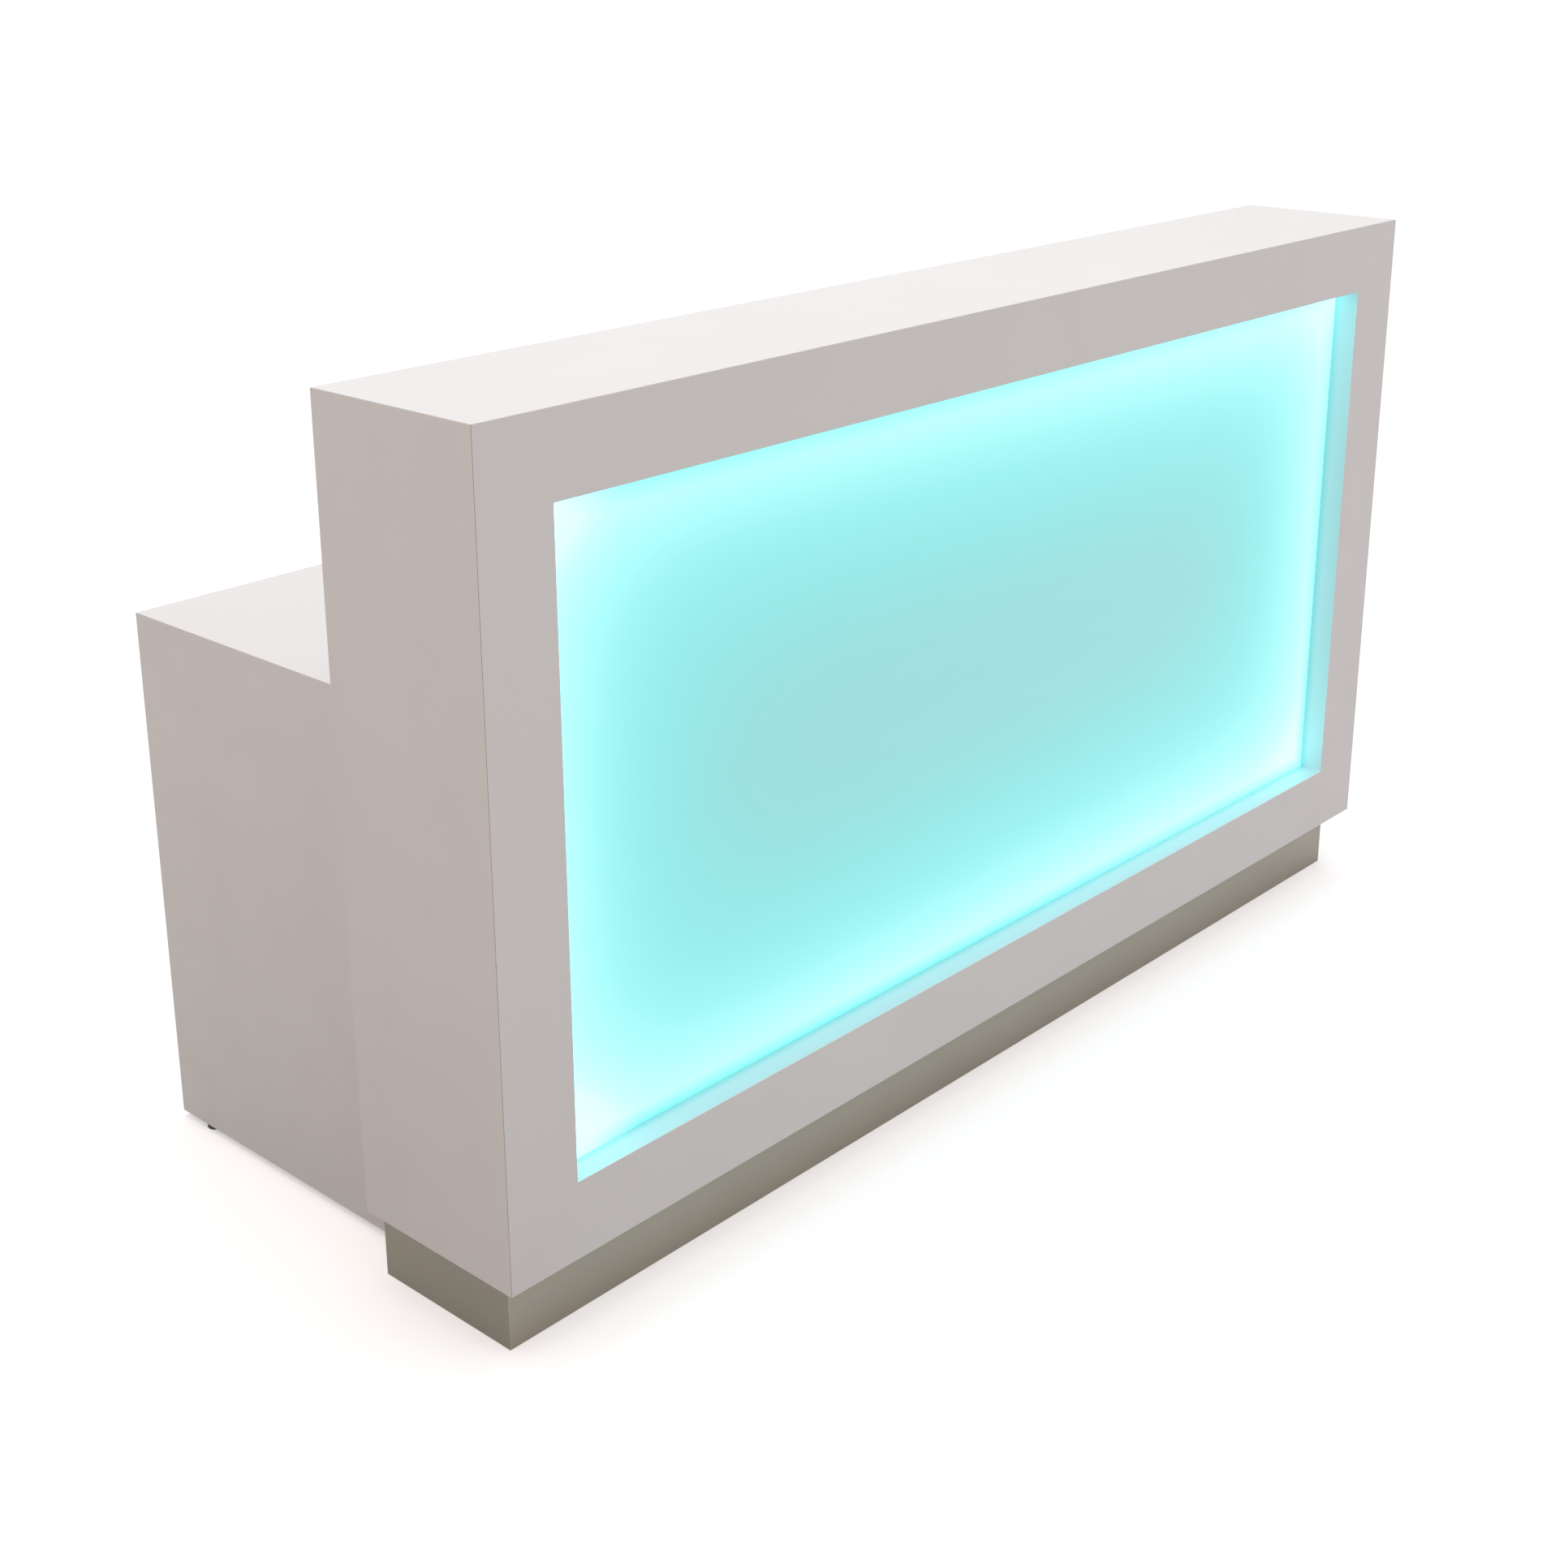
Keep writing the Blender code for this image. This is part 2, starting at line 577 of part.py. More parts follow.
def build_power(panel, reflector, strip_back_y, wall_top_z, black, metal, lead_look):
    """Switched inlet in the right back panel, the driver on the counter's floor, and both leads."""
    body_x, body_z = INLET_BODY_SIZE[0] / 2, INLET_BODY_SIZE[1] / 2
    flange_x, flange_z = INLET_FLANGE_SIZE[0] / 2, INLET_FLANGE_SIZE[1] / 2
    inlet_back_y = BACK_Y - INLET_DEPTH
    loops = [
        rectangle(1, inlet_back_y, (-body_x, -body_z), (body_x, body_z)),
        rectangle(1, BACK_Y + SEAM, (-body_x, -body_z), (body_x, body_z)),
        rectangle(1, BACK_Y + SEAM, (-flange_x, -flange_z), (flange_x, flange_z)),
        rectangle(1, INLET_FACE_Y, (-flange_x, -flange_z), (flange_x, flange_z)),
    ]
    inlet = add_piece("power_inlet", skin(loops), black, (INLET_X, 0, INLET_Z))
    hole_x, hole_z = body_x + SEAM, body_z + SEAM
    low = (INLET_X - hole_x, BACK_PANEL_Y - BACK_BOARD, INLET_Z - hole_z)
    high = (INLET_X + hole_x, BACK_Y + BACK_BOARD, INLET_Z + hole_z)
    combine(panel, add_cutter("inlet_cut_out", *box_shape(low, high)), "DIFFERENCE")

    socket_x = INLET_X - SOCKET_OFFSET
    half_x, half_z = SOCKET_SIZE[0] / 2, SOCKET_SIZE[1] / 2
    socket_floor_y = INLET_FACE_Y - SOCKET_DEPTH
    low = (socket_x - half_x, socket_floor_y, INLET_Z - half_z)
    high = (socket_x + half_x, INLET_FACE_Y + SOCKET_DEPTH, INLET_Z + half_z)
    combine(inlet, add_cutter("inlet_socket", *box_shape(low, high)), "DIFFERENCE")
    for index in (-1, 0, 1):
        pin_x = socket_x + index * PIN_SPACING
        low = (pin_x - PIN_SIZE[0] / 2, socket_floor_y - PIN_SIZE[1], INLET_Z - PIN_SIZE[1] / 2)
        high = (pin_x + PIN_SIZE[0] / 2, socket_floor_y + PIN_LENGTH, INLET_Z + PIN_SIZE[1] / 2)
        combine(inlet, add_cutter(f"inlet_pin_{index + 1}", *box_shape(low, high)), "UNION")

    rocker_x = INLET_X + ROCKER_OFFSET
    well_x = ROCKER_WIDTH / 2 + RUNNING_GAP
    low = (rocker_x - well_x, INLET_FACE_Y - ROCKER_WELL_DEPTH, INLET_Z - ROCKER_WELL_HALF_HEIGHT)
    high = (rocker_x + well_x, INLET_FACE_Y + ROCKER_WELL_DEPTH, INLET_Z + ROCKER_WELL_HALF_HEIGHT)
    combine(inlet, add_cutter("rocker_well", *box_shape(low, high)), "DIFFERENCE")
    carrier = add_carrier("rocker_axis", (rocker_x, INLET_FACE_Y - ROCKER_RISE / 2, INLET_Z))
    outline = [
        (-ROCKER_DEPTH, -ROCKER_FOOT_HALF_HEIGHT),
        (ROCKER_RISE, -ROCKER_HALF_HEIGHT),
        (ROCKER_RISE - ROCKER_DISH, 0),
        (ROCKER_RISE, ROCKER_HALF_HEIGHT),
        (-ROCKER_DEPTH, ROCKER_FOOT_HALF_HEIGHT),
    ]
    rocker_shape = extruded(outline, 0, -ROCKER_WIDTH / 2, ROCKER_WIDTH / 2)
    rocker = add_piece("power_rocker", rocker_shape, black, carrier.location, carrier)
    rocker.rotation_euler = (ROCKER_TILT, 0, 0)

    floor_z = COUNTER_FLOOR_Z + SEAM
    left_x, right_x = KNEE_X - DRIVER_LENGTH / 2, KNEE_X + DRIVER_LENGTH / 2
    tab_z = floor_z + DRIVER_TAB_THICKNESS
    top_z = floor_z + DRIVER_HEIGHT
    outline = [
        (left_x - DRIVER_TAB, floor_z),
        (right_x + DRIVER_TAB, floor_z),
        (right_x + DRIVER_TAB, tab_z),
        (right_x, tab_z),
        (right_x, top_z),
        (left_x, top_z),
        (left_x, tab_z),
        (left_x - DRIVER_TAB, tab_z),
    ]
    driver_shape = extruded(outline, 1, CAVITY_Y - DRIVER_DEPTH / 2, CAVITY_Y + DRIVER_DEPTH / 2)
    add_piece("led_driver", driver_shape, metal)

    lead_z = tab_z + SEAM + MAINS_LEAD_RADIUS
    inlet_end_y = inlet_back_y - SEAM
    route = [
        (INLET_X, inlet_end_y, INLET_Z),
        *quarter_turn((INLET_X, CAVITY_Y, INLET_Z), (0, 1, 0), (0, 0, -1), MAINS_LEAD_BEND),
        (INLET_X, CAVITY_Y, (INLET_Z + lead_z) / 2),
        *quarter_turn((INLET_X, CAVITY_Y, lead_z), (0, 0, 1), (-1, 0, 0), MAINS_LEAD_BEND),
        ((INLET_X + right_x) / 2, CAVITY_Y, lead_z),
        (right_x + DRIVER_TAB, CAVITY_Y, lead_z),
        (right_x + SEAM, CAVITY_Y, lead_z),
    ]
    add_lead("mains_lead", route, MAINS_LEAD_RADIUS, lead_look)

    hole_z = wall_top_z + SEAM + LED_LEAD_RADIUS
    rise_bend = (hole_z - lead_z) / 2
    hole_bend = (CAVITY_Y - REFLECTOR_BACK_Y) / 2
    hole_x = left_x - DRIVER_TAB - rise_bend
    route = [
        (left_x - SEAM, CAVITY_Y, lead_z),
        *quarter_turn((hole_x, CAVITY_Y, lead_z), (1, 0, 0), (0, 0, 1), rise_bend),
        *quarter_turn((hole_x, CAVITY_Y, hole_z), (0, 0, -1), (0, -1, 0), hole_bend),
        (hole_x, (CAVITY_Y - hole_bend + REFLECTOR_BACK_Y) / 2, hole_z),
        (hole_x, REFLECTOR_BACK_Y, hole_z),
        (hole_x, strip_back_y + SEAM, hole_z),
    ]
    add_lead("led_lead", route, LED_LEAD_RADIUS, lead_look)
    reach = REFLECTOR_THICKNESS * 2
    bore = turned([(LED_LEAD_HOLE_RADIUS, -reach), (LED_LEAD_HOLE_RADIUS, reach)], SMALL_ROUND_SIDES)
    hole = add_cutter("led_lead_hole", bore, (hole_x, REFLECTOR_BACK_Y, hole_z))
    hole.rotation_euler = (math.pi / 2, 0, 0)
    combine(reflector, hole, "DIFFERENCE")


def build_staff_desk(white, foot_look):
    """Work surface mitred to two gables, the ledger that carries it, and the levelling feet."""
    outer_x = GABLE_X - MITRE_SHIFT
    inner_x = GABLE_INNER_X - MITRE_SHIFT
    joint_y = BACK_Y + SEAM
    top = rectangle(2, DESK_HEIGHT, (-outer_x, joint_y), (outer_x, REAR_Y))
    underside = rectangle(2, DESK_UNDERSIDE_Z, (-inner_x, joint_y), (inner_x, REAR_Y))
    worksurface = add_mitred_board("worksurface", top, underside, white)
    ledger_x = GABLE_INNER_X - SEAM
    low = (-ledger_x, joint_y, LEDGER_LOW_Z)
    high = (ledger_x, joint_y + LEDGER_THICKNESS, LEDGER_LOW_Z + LEDGER_HEIGHT)
    add_board("ledger_rail", low, high, white)
    foot_top = FOOT_HEIGHT - SEAM
    foot_profile = [
        (FOOT_RADIUS - FOOT_CHAMFER / 2, 0),
        (FOOT_RADIUS, FOOT_CHAMFER / 2),
        (FOOT_RADIUS, foot_top - FOOT_CHAMFER),
        (FOOT_RADIUS - FOOT_CHAMFER, foot_top),
        (STEM_RADIUS, foot_top),
        (STEM_RADIUS, FOOT_HEIGHT + STEM_LENGTH),
    ]
    bore_radius = STEM_RADIUS + SEAM
    bore_top = FOOT_HEIGHT + STEM_LENGTH + SEAM
    for side, word in ((-1, "left"), (1, "right")):
        outer = rectangle(
            0, side * GABLE_X, (joint_y, FOOT_HEIGHT), (REAR_Y, DESK_HEIGHT - MITRE_SHIFT)
        )
        inner = rectangle(
            0, side * GABLE_INNER_X, (joint_y, FOOT_HEIGHT), (REAR_Y, DESK_UNDERSIDE_Z - MITRE_SHIFT)
        )
        gable = add_mitred_board(f"gable_{word}", outer, inner, white)
        foot_x = side * (GABLE_X + GABLE_INNER_X) / 2
        for end, foot_y in (("front", joint_y + FOOT_FROM_EDGE), ("rear", REAR_Y - FOOT_FROM_EDGE)):
            name = f"leveller_{word}_{end}"
            axis = add_carrier(f"{name}_axis", (foot_x, foot_y, 0))
            foot_shape = turned(foot_profile, SMALL_ROUND_SIDES)
            add_piece(name, foot_shape, foot_look, axis.location, axis, smooth=True)
            bore = turned([(bore_radius, -FOOT_HEIGHT), (bore_radius, bore_top)], SMALL_ROUND_SIDES)
            combine(gable, add_cutter(f"{name}_bore", bore, axis.location), "DIFFERENCE")
    return worksurface


def notched_disc(radius):
    """Outline of a grommet cap: a disc with a round-ended notch for cables towards -Y."""
    half = CABLE_NOTCH_WIDTH / 2
    mouth = math.asin(half / radius)
    outline = []
    for step in range(ROUND_SIDES + 1):
        angle = -math.pi / 2 + mouth + (2 * math.pi - 2 * mouth) * step / ROUND_SIDES
        outline.append((radius * math.cos(angle), radius * math.sin(angle)))
    notch_centre_y = -radius + CABLE_NOTCH_DEPTH - half
    for step in range(NOTCH_STEPS + 1):
        angle = math.pi - math.pi * step / NOTCH_STEPS
        outline.append((half * math.cos(angle), notch_centre_y + half * math.sin(angle)))
    return outline


def build_grommets(worksurface, plastic):
    """Two sleeves let into the work surface, each with a cap that turns on its ledge."""
    face_z = DESK_HEIGHT + SEAM + GROMMET_FLANGE
    ledge_z = face_z - CAP_THICKNESS - SEAM
    tube_radius = GROMMET_RADIUS - SEAM
    bore_radius = tube_radius - GROMMET_WALL
    cap_radius = bore_radius - RUNNING_GAP
    ledge_radius = bore_radius - GROMMET_LEDGE
    profile = [
        (ledge_radius, ledge_z),
        (ledge_radius, ledge_z - GROMMET_LEDGE),
        (bore_radius, ledge_z - 2 * GROMMET_LEDGE),
        (bore_radius, DESK_UNDERSIDE_Z),
        (tube_radius, DESK_UNDERSIDE_Z),
        (tube_radius, DESK_HEIGHT + SEAM),
        (GROMMET_FLANGE_RADIUS, DESK_HEIGHT + SEAM),
        (GROMMET_FLANGE_RADIUS, face_z - GROMMET_FLANGE / 2),
        (GROMMET_FLANGE_RADIUS - GROMMET_FLANGE / 2, face_z),
        (bore_radius, face_z),
        (bore_radius, ledge_z),
    ]
    grommet_y = BACK_Y + GROMMET_FROM_BACK
    bore_low_z = DESK_UNDERSIDE_Z - DESK_BOARD
    for word, grommet_x in (
        ("left", GROMMET_FROM_KNEE_END - GABLE_INNER_X),
        ("right", PARTITION_LEFT_X - GROMMET_FROM_KNEE_END),
    ):
        at = (grommet_x, grommet_y, 0)
        sleeve = turned(profile, closed=True)
        add_piece(f"grommet_sleeve_{word}", sleeve, plastic, at, smooth=True)
        axis = add_carrier(f"grommet_axis_{word}", at)
        cap = extruded(notched_disc(cap_radius), 2, ledge_z + SEAM, face_z)
        add_piece(f"grommet_cap_{word}", cap, plastic, at, axis)
        bore = turned([(GROMMET_RADIUS, bore_low_z), (GROMMET_RADIUS, face_z + DESK_BOARD)])
        combine(worksurface, add_cutter(f"grommet_bore_{word}", bore, at), "DIFFERENCE")


def runner_outline(side, wall_x, centre_z):
    """Section of a fixed runner member: a channel that opens towards the drawer."""
    half = RUNNER_HEIGHT / 2
    inner_half = half - RUNNER_METAL
    back_x = wall_x + side * SEAM
    web_x = back_x + side * RUNNER_METAL
    lip_x = back_x + side * RUNNER_FLANGE
    return [
        (back_x, centre_z - half),
        (lip_x, centre_z - half),
        (lip_x, centre_z - inner_half),
        (web_x, centre_z - inner_half),
        (web_x, centre_z + inner_half),
        (lip_x, centre_z + inner_half),
        (lip_x, centre_z + half),
        (back_x, centre_z + half),
    ]


def build_drawer(name, low_z, high_z, white, tray_look, steel):
    """A drawer: front, pull, open tray and its two runners, fixed members on the bay's walls."""
    left_x, right_x = BAY_LEFT_X + DOOR_GAP, BAY_RIGHT_X - DOOR_GAP
    centre_x = (BAY_LEFT_X + BAY_RIGHT_X) / 2
    carrier = add_carrier(f"{name}_slide", (centre_x, BANK_REAR_Y, low_z))
    low = (left_x, DRAWER_FRONT_Y, low_z)
    add_board(f"{name}_drawer_front", low, (right_x, BANK_REAR_Y, high_z), white, carrier)

    tray_x = (BAY_RIGHT_X - BAY_LEFT_X) / 2 - RUNNER_SPACE
    tray_back_y = BACK_Y + TRAY_BACK_SPACE
    tray_front_y = DRAWER_FRONT_Y - SEAM
    tray_low_z = low_z + TRAY_BOTTOM_SPACE
    tray_high_z = high_z - TRAY_TOP_SPACE
    outer_low, outer_high = (-tray_x, tray_back_y), (tray_x, tray_front_y)
    hollow_low = (TRAY_WALL - tray_x, tray_back_y + TRAY_WALL)
    hollow_high = (tray_x - TRAY_WALL, tray_front_y - TRAY_WALL)
    loops = [
        rectangle(2, tray_low_z, outer_low, outer_high),
        rectangle(2, tray_high_z, outer_low, outer_high),
        rectangle(2, tray_high_z, hollow_low, hollow_high),
        rectangle(2, tray_low_z + TRAY_FLOOR, hollow_low, hollow_high),
    ]
    tray = add_piece(f"{name}_drawer_tray", skin(loops), tray_look, (centre_x, 0, 0), carrier)
    ease_edges(tray, BOARD_ARRIS)

    half = PULL_LENGTH / 2
    outline = [
        (-half, 0),
        (-half, PULL_REACH),
        (half, PULL_REACH),
        (half, 0),
        (half - PULL_BAR, 0),
        (half - PULL_BAR, PULL_REACH - PULL_BAR),
        (PULL_BAR - half, PULL_REACH - PULL_BAR),
        (PULL_BAR - half, 0),
    ]
    pull_at = (centre_x, BANK_REAR_Y + SEAM, high_z - PULL_FROM_TOP)
    pull_shape = extruded(outline, 2, -PULL_HEIGHT / 2, PULL_HEIGHT / 2)
    pull = add_piece(f"{name}_drawer_pull", pull_shape, steel, pull_at, carrier)
    ease_edges(pull, PULL_ROUNDING, PULL_ROUNDING_STEPS)

    runner_z = tray_low_z + RUNNER_ABOVE_TRAY_BOTTOM + RUNNER_HEIGHT / 2
    runner_half = RUNNER_HEIGHT / 2 - RUNNER_METAL - RUNNING_GAP
    for side, wall_x, word in ((1, BAY_LEFT_X, "left"), (-1, BAY_RIGHT_X, "right")):
        fixed = extruded(runner_outline(side, wall_x, runner_z), 1, tray_back_y, tray_front_y)
        add_piece(f"{name}_runner_fixed_{word}", fixed, steel)
        near_x = wall_x + side * (SEAM + RUNNER_METAL + RUNNING_GAP)
        far_x = wall_x + side * (RUNNER_SPACE - SEAM)
        low = (min(near_x, far_x), tray_back_y, runner_z - runner_half)
        high = (max(near_x, far_x), tray_front_y, runner_z + runner_half)
        add_board(f"{name}_runner_moving_{word}", low, high, steel, carrier)


def build_drawer_bank(white, tray_look, steel):
    """Partition and floor that hang under the work surface, with a box drawer over a file drawer."""
    partition_top_z = DESK_UNDERSIDE_Z - SEAM
    low = (PARTITION_LEFT_X, BANK_FRONT_Y, BANK_CLEARANCE)
    add_board("drawer_partition", low, (BAY_LEFT_X, BANK_REAR_Y, partition_top_z), white)
    low = (BAY_LEFT_X + SEAM, BANK_FRONT_Y, BANK_CLEARANCE)
    add_board("drawer_floor", low, (BAY_RIGHT_X - SEAM, BANK_REAR_Y, BANK_FLOOR_Z), white)
    box_high_z = DESK_UNDERSIDE_Z - DOOR_GAP
    box_low_z = box_high_z - BOX_FRONT_HEIGHT
    build_drawer("box", box_low_z, box_high_z, white, tray_look, steel)
    build_drawer("file", BANK_FLOOR_Z + DOOR_GAP, box_low_z - DOOR_GAP, white, tray_look, steel)


def main():
    for item in list(bpy.data.objects):
        bpy.data.objects.remove(item, do_unlink=True)
    white = make_finish("white_laminate", (0.83, 0.81, 0.80), 0.38)
    acrylic = make_finish("aqua_acrylic", (0.45, 0.86, 0.86), 0.30)
    steel = make_finish("brushed_steel", (0.52, 0.50, 0.46), 0.35, 1.0)
    reflector_white = make_finish("reflector_white", (0.90, 0.91, 0.91), 0.60)
    strip_board = make_finish("strip_board", (0.85, 0.86, 0.84), 0.50)
    ply = make_finish("birch_ply", (0.62, 0.47, 0.30), 0.65)
    black = make_finish("black_plastic", (0.03, 0.03, 0.03), 0.45)
    grey = make_finish("grey_plastic", (0.42, 0.43, 0.44), 0.50)
    driver_metal = make_finish("driver_case", (0.72, 0.73, 0.74), 0.40, 1.0)
    lead_cover = make_finish("lead_cover", (0.05, 0.05, 0.05), 0.55)
    tray_look = make_finish("tray_board", (0.78, 0.77, 0.75), 0.55)

    build_counter(white)
    reflector, strip_back_y, wall_top_z = build_light_box(acrylic, reflector_white, strip_board)
    build_plinth(ply, steel)
    right_panel = build_counter_back(white)
    build_hatch(white, steel, grey)
    build_power(right_panel, reflector, strip_back_y, wall_top_z, black, driver_metal, lead_cover)
    worksurface = build_staff_desk(white, black)
    build_grommets(worksurface, grey)
    build_drawer_bank(white, tray_look, steel)


main()
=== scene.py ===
# %% [markdown]
# # A reception desk with a lit front
# The desk comes as a packed set of solids: boards, plates, hinges, drawers.
# This lesson leaves their shapes alone and gives each one the finish of the real thing.
# We load them first, because most of the places and sizes below are read from them.

# %% Load the desk
import math

import bmesh
import bpy
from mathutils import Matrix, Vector


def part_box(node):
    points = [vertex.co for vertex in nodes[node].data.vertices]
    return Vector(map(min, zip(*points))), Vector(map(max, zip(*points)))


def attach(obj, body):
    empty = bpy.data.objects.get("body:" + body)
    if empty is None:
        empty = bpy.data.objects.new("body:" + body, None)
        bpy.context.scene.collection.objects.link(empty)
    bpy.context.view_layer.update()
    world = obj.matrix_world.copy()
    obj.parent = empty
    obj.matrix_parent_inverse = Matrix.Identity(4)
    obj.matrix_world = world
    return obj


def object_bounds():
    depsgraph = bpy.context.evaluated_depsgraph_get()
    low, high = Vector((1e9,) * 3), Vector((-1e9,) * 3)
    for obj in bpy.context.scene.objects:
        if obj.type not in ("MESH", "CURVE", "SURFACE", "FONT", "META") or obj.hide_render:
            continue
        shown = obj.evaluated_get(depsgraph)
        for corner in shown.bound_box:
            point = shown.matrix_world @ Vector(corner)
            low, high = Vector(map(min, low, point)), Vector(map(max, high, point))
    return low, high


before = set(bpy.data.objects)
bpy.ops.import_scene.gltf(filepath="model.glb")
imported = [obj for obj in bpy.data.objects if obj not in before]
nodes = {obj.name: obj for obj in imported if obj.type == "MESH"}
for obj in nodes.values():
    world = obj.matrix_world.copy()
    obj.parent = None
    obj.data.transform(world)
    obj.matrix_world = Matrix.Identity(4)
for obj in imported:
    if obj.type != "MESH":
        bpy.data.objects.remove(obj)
solid_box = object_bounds()
MM = 0.001
print("solids:", len(nodes), "box:", [list(corner) for corner in solid_box])

# %% [markdown]
# ## Colours and nodes
# A picture gives colours as sRGB hex, but a shader works in linear light, so one function turns
# the first into the second, with the numbers of the sRGB standard. A material is a small machine of
# nodes, and one more function adds a node with its settings: an input is given a value, or another
# node's output to link from. Most inputs go by name. The inputs of a Mix node share their names, so
# they go by number, and so do those of a Math node. Two short functions open and close each finish.
# A solid's own coordinates are the desk's metres, so a pattern's scale is one over its real size.

# %% Helpers for every finish
SHARE = 0
VALUE_A = 2
VALUE_B = 3
COLOUR_A = 6
COLOUR_B = 7
MIXED_COLOUR = 2


def linear(hex_colour):
    shares = [int(hex_colour[start : start + 2], 16) / 255 for start in (0, 2, 4)]
    bent = [c / 12.92 if c <= 0.04045 else ((c + 0.055) / 1.055) ** 2.4 for c in shares]
    return (*bent, 1.0)


def add_node(tree, kind, inputs, **settings):
    node = tree.nodes.new(kind)
    for name, value in settings.items():
        setattr(node, name, value)
    for name, value in inputs.items():
        if isinstance(value, bpy.types.NodeSocket):
            tree.links.new(value, node.inputs[name])
        else:
            node.inputs[name].default_value = value
    return node


def start_finish(name):
    finish = bpy.data.materials.new(name)
    finish.use_nodes = True
    finish.node_tree.nodes.clear()
    place = add_node(finish.node_tree, "ShaderNodeTexCoord", {}).outputs["Object"]
    return finish, finish.node_tree, place


def end_finish(finish, inputs):
    shader = add_node(finish.node_tree, "ShaderNodeBsdfPrincipled", inputs)
    add_node(finish.node_tree, "ShaderNodeOutputMaterial", {"Surface": shader.outputs["BSDF"]})
    print("finish:", finish.name, "nodes:", len(finish.node_tree.nodes))
    return finish


print("a middle grey in linear light:", linear("808080"))

# %% [markdown]
# ## The camera
# The picture was taken from the front left, a little above the counter. The place, the turn and
# the focal length were solved from the counter's corners. The lens is shifted down a little, as in
# a cropped picture, which keeps the uprights closer to parallel than tilting the camera further would.

# %% Camera
SENSOR_WIDTH = 36.0
FOCAL_SHARE = 1.4332
LENS_SHIFT = -0.10
EYE = (-2.2593, -1.9958, 1.5548)
TURN = (71.688, 0.130, -47.754)

lens = bpy.data.cameras.new("front_left_view")
lens.sensor_width = SENSOR_WIDTH
lens.lens = SENSOR_WIDTH * FOCAL_SHARE
lens.shift_y = LENS_SHIFT
camera = bpy.data.objects.new("front_left_view", lens)
camera.location = EYE
camera.rotation_euler = [math.radians(angle) for angle in TURN]
bpy.context.scene.collection.objects.link(camera)
bpy.context.scene.camera = camera
print("camera at", list(camera.location))

# %% [markdown]
# ## Floor
# The desk stands in a plain pale studio. The floor looks white to the camera and in reflections, and
# still takes the desk's shadow: part of its white is its own, and the rest is the light that falls on it.
# Light that bounces off it meets a darker floor, as in a real room. Close to the desk's left end
# that floor holds a patch of painted shade, which makes that end grow dimmer towards its foot.

# %% Floor
FLOOR_REACH = 30.0

corners = [(x * FLOOR_REACH, y * FLOOR_REACH, 0) for x, y in ((-1, -1), (1, -1), (1, 1), (-1, 1))]
floor_mesh = bpy.data.meshes.new("floor")
floor_mesh.from_pydata(corners, [], [(0, 1, 2, 3)])
floor = bpy.data.objects.new("floor", floor_mesh)
bpy.context.scene.collection.objects.link(floor)
print("floor:", 2 * FLOOR_REACH, "m square")


# %% Floor paint
def seen_directly(tree):
    path = add_node(tree, "ShaderNodeLightPath", {})
    seen = path.outputs["Is Camera Ray"]
    for other in ("Is Glossy Ray", "Is Transmission Ray"):
        rays = {0: seen, 1: path.outputs[other]}
        seen = add_node(tree, "ShaderNodeMath", rays, operation="MAXIMUM").outputs[0]
    return seen


OWN_WHITE = 0.40
# Each edge of the patch of painted shade: an axis, where the floor is still light, and where it is
# darkest.
PAINTED_SHADE_EDGES = (("X", -3.2, -1.6), ("X", -0.75, -0.87), ("Y", -0.95, -0.15), ("Y", 1.2, 0.1))

floor_paint, tree, place = start_finish("pale_floor")
white = add_node(tree, "ShaderNodeBsdfDiffuse", {"Color": linear("F6F5F4")}).outputs[0]
glimmer = {"Color": linear("FFFFFF"), "Strength": OWN_WHITE}
own_white = add_node(tree, "ShaderNodeEmission", glimmer).outputs[0]
shown = add_node(tree, "ShaderNodeAddShader", {0: white, 1: own_white}).outputs[0]
axes = add_node(tree, "ShaderNodeSeparateXYZ", {0: place}).outputs
# Painted shade: a dark patch on the floor that light bounces from, near the desk's left end, stands for
# the desk's shadow there.
painted_shade_patch = 1.0
for axis, lightest, darkest in PAINTED_SHADE_EDGES:
    edge = {"Value": axes[axis], "From Min": lightest, "From Max": darkest}
    part = add_node(tree, "ShaderNodeMapRange", edge, interpolation_type="SMOOTHSTEP").outputs[0]
    patches = {0: painted_shade_patch, 1: part}
    painted_shade_patch = add_node(tree, "ShaderNodeMath", patches, operation="MULTIPLY").outputs[0]
tones = {SHARE: painted_shade_patch, COLOUR_A: linear("A3A09E"), COLOUR_B: linear("241F1B")}
bounce_colour = add_node(tree, "ShaderNodeMix", tones, data_type="RGBA").outputs[MIXED_COLOUR]
bounce = add_node(tree, "ShaderNodeBsdfDiffuse", {"Color": bounce_colour}).outputs[0]
either = add_node(tree, "ShaderNodeMixShader", {0: seen_directly(tree), 1: bounce, 2: shown}).outputs[0]
add_node(tree, "ShaderNodeOutputMaterial", {"Surface": either})
floor_mesh.materials.append(floor_paint)
print("floor paint, nodes:", len(tree.nodes))

# %% [markdown]
# ## Room and lamps
# The room could be one even white, but in the picture the light from the left is a touch warmer than
# the light from the right, so the fill changes with its direction. The camera and reflections see plain
# white instead. A wide soft lamp hangs overhead, a weak cool one fills in from the right, and a weak
# warm one reaches the left end.

# %% Room
FILL_STRENGTH = 0.80
WARM_FROM = -0.9
NEUTRAL_FROM = 0.1

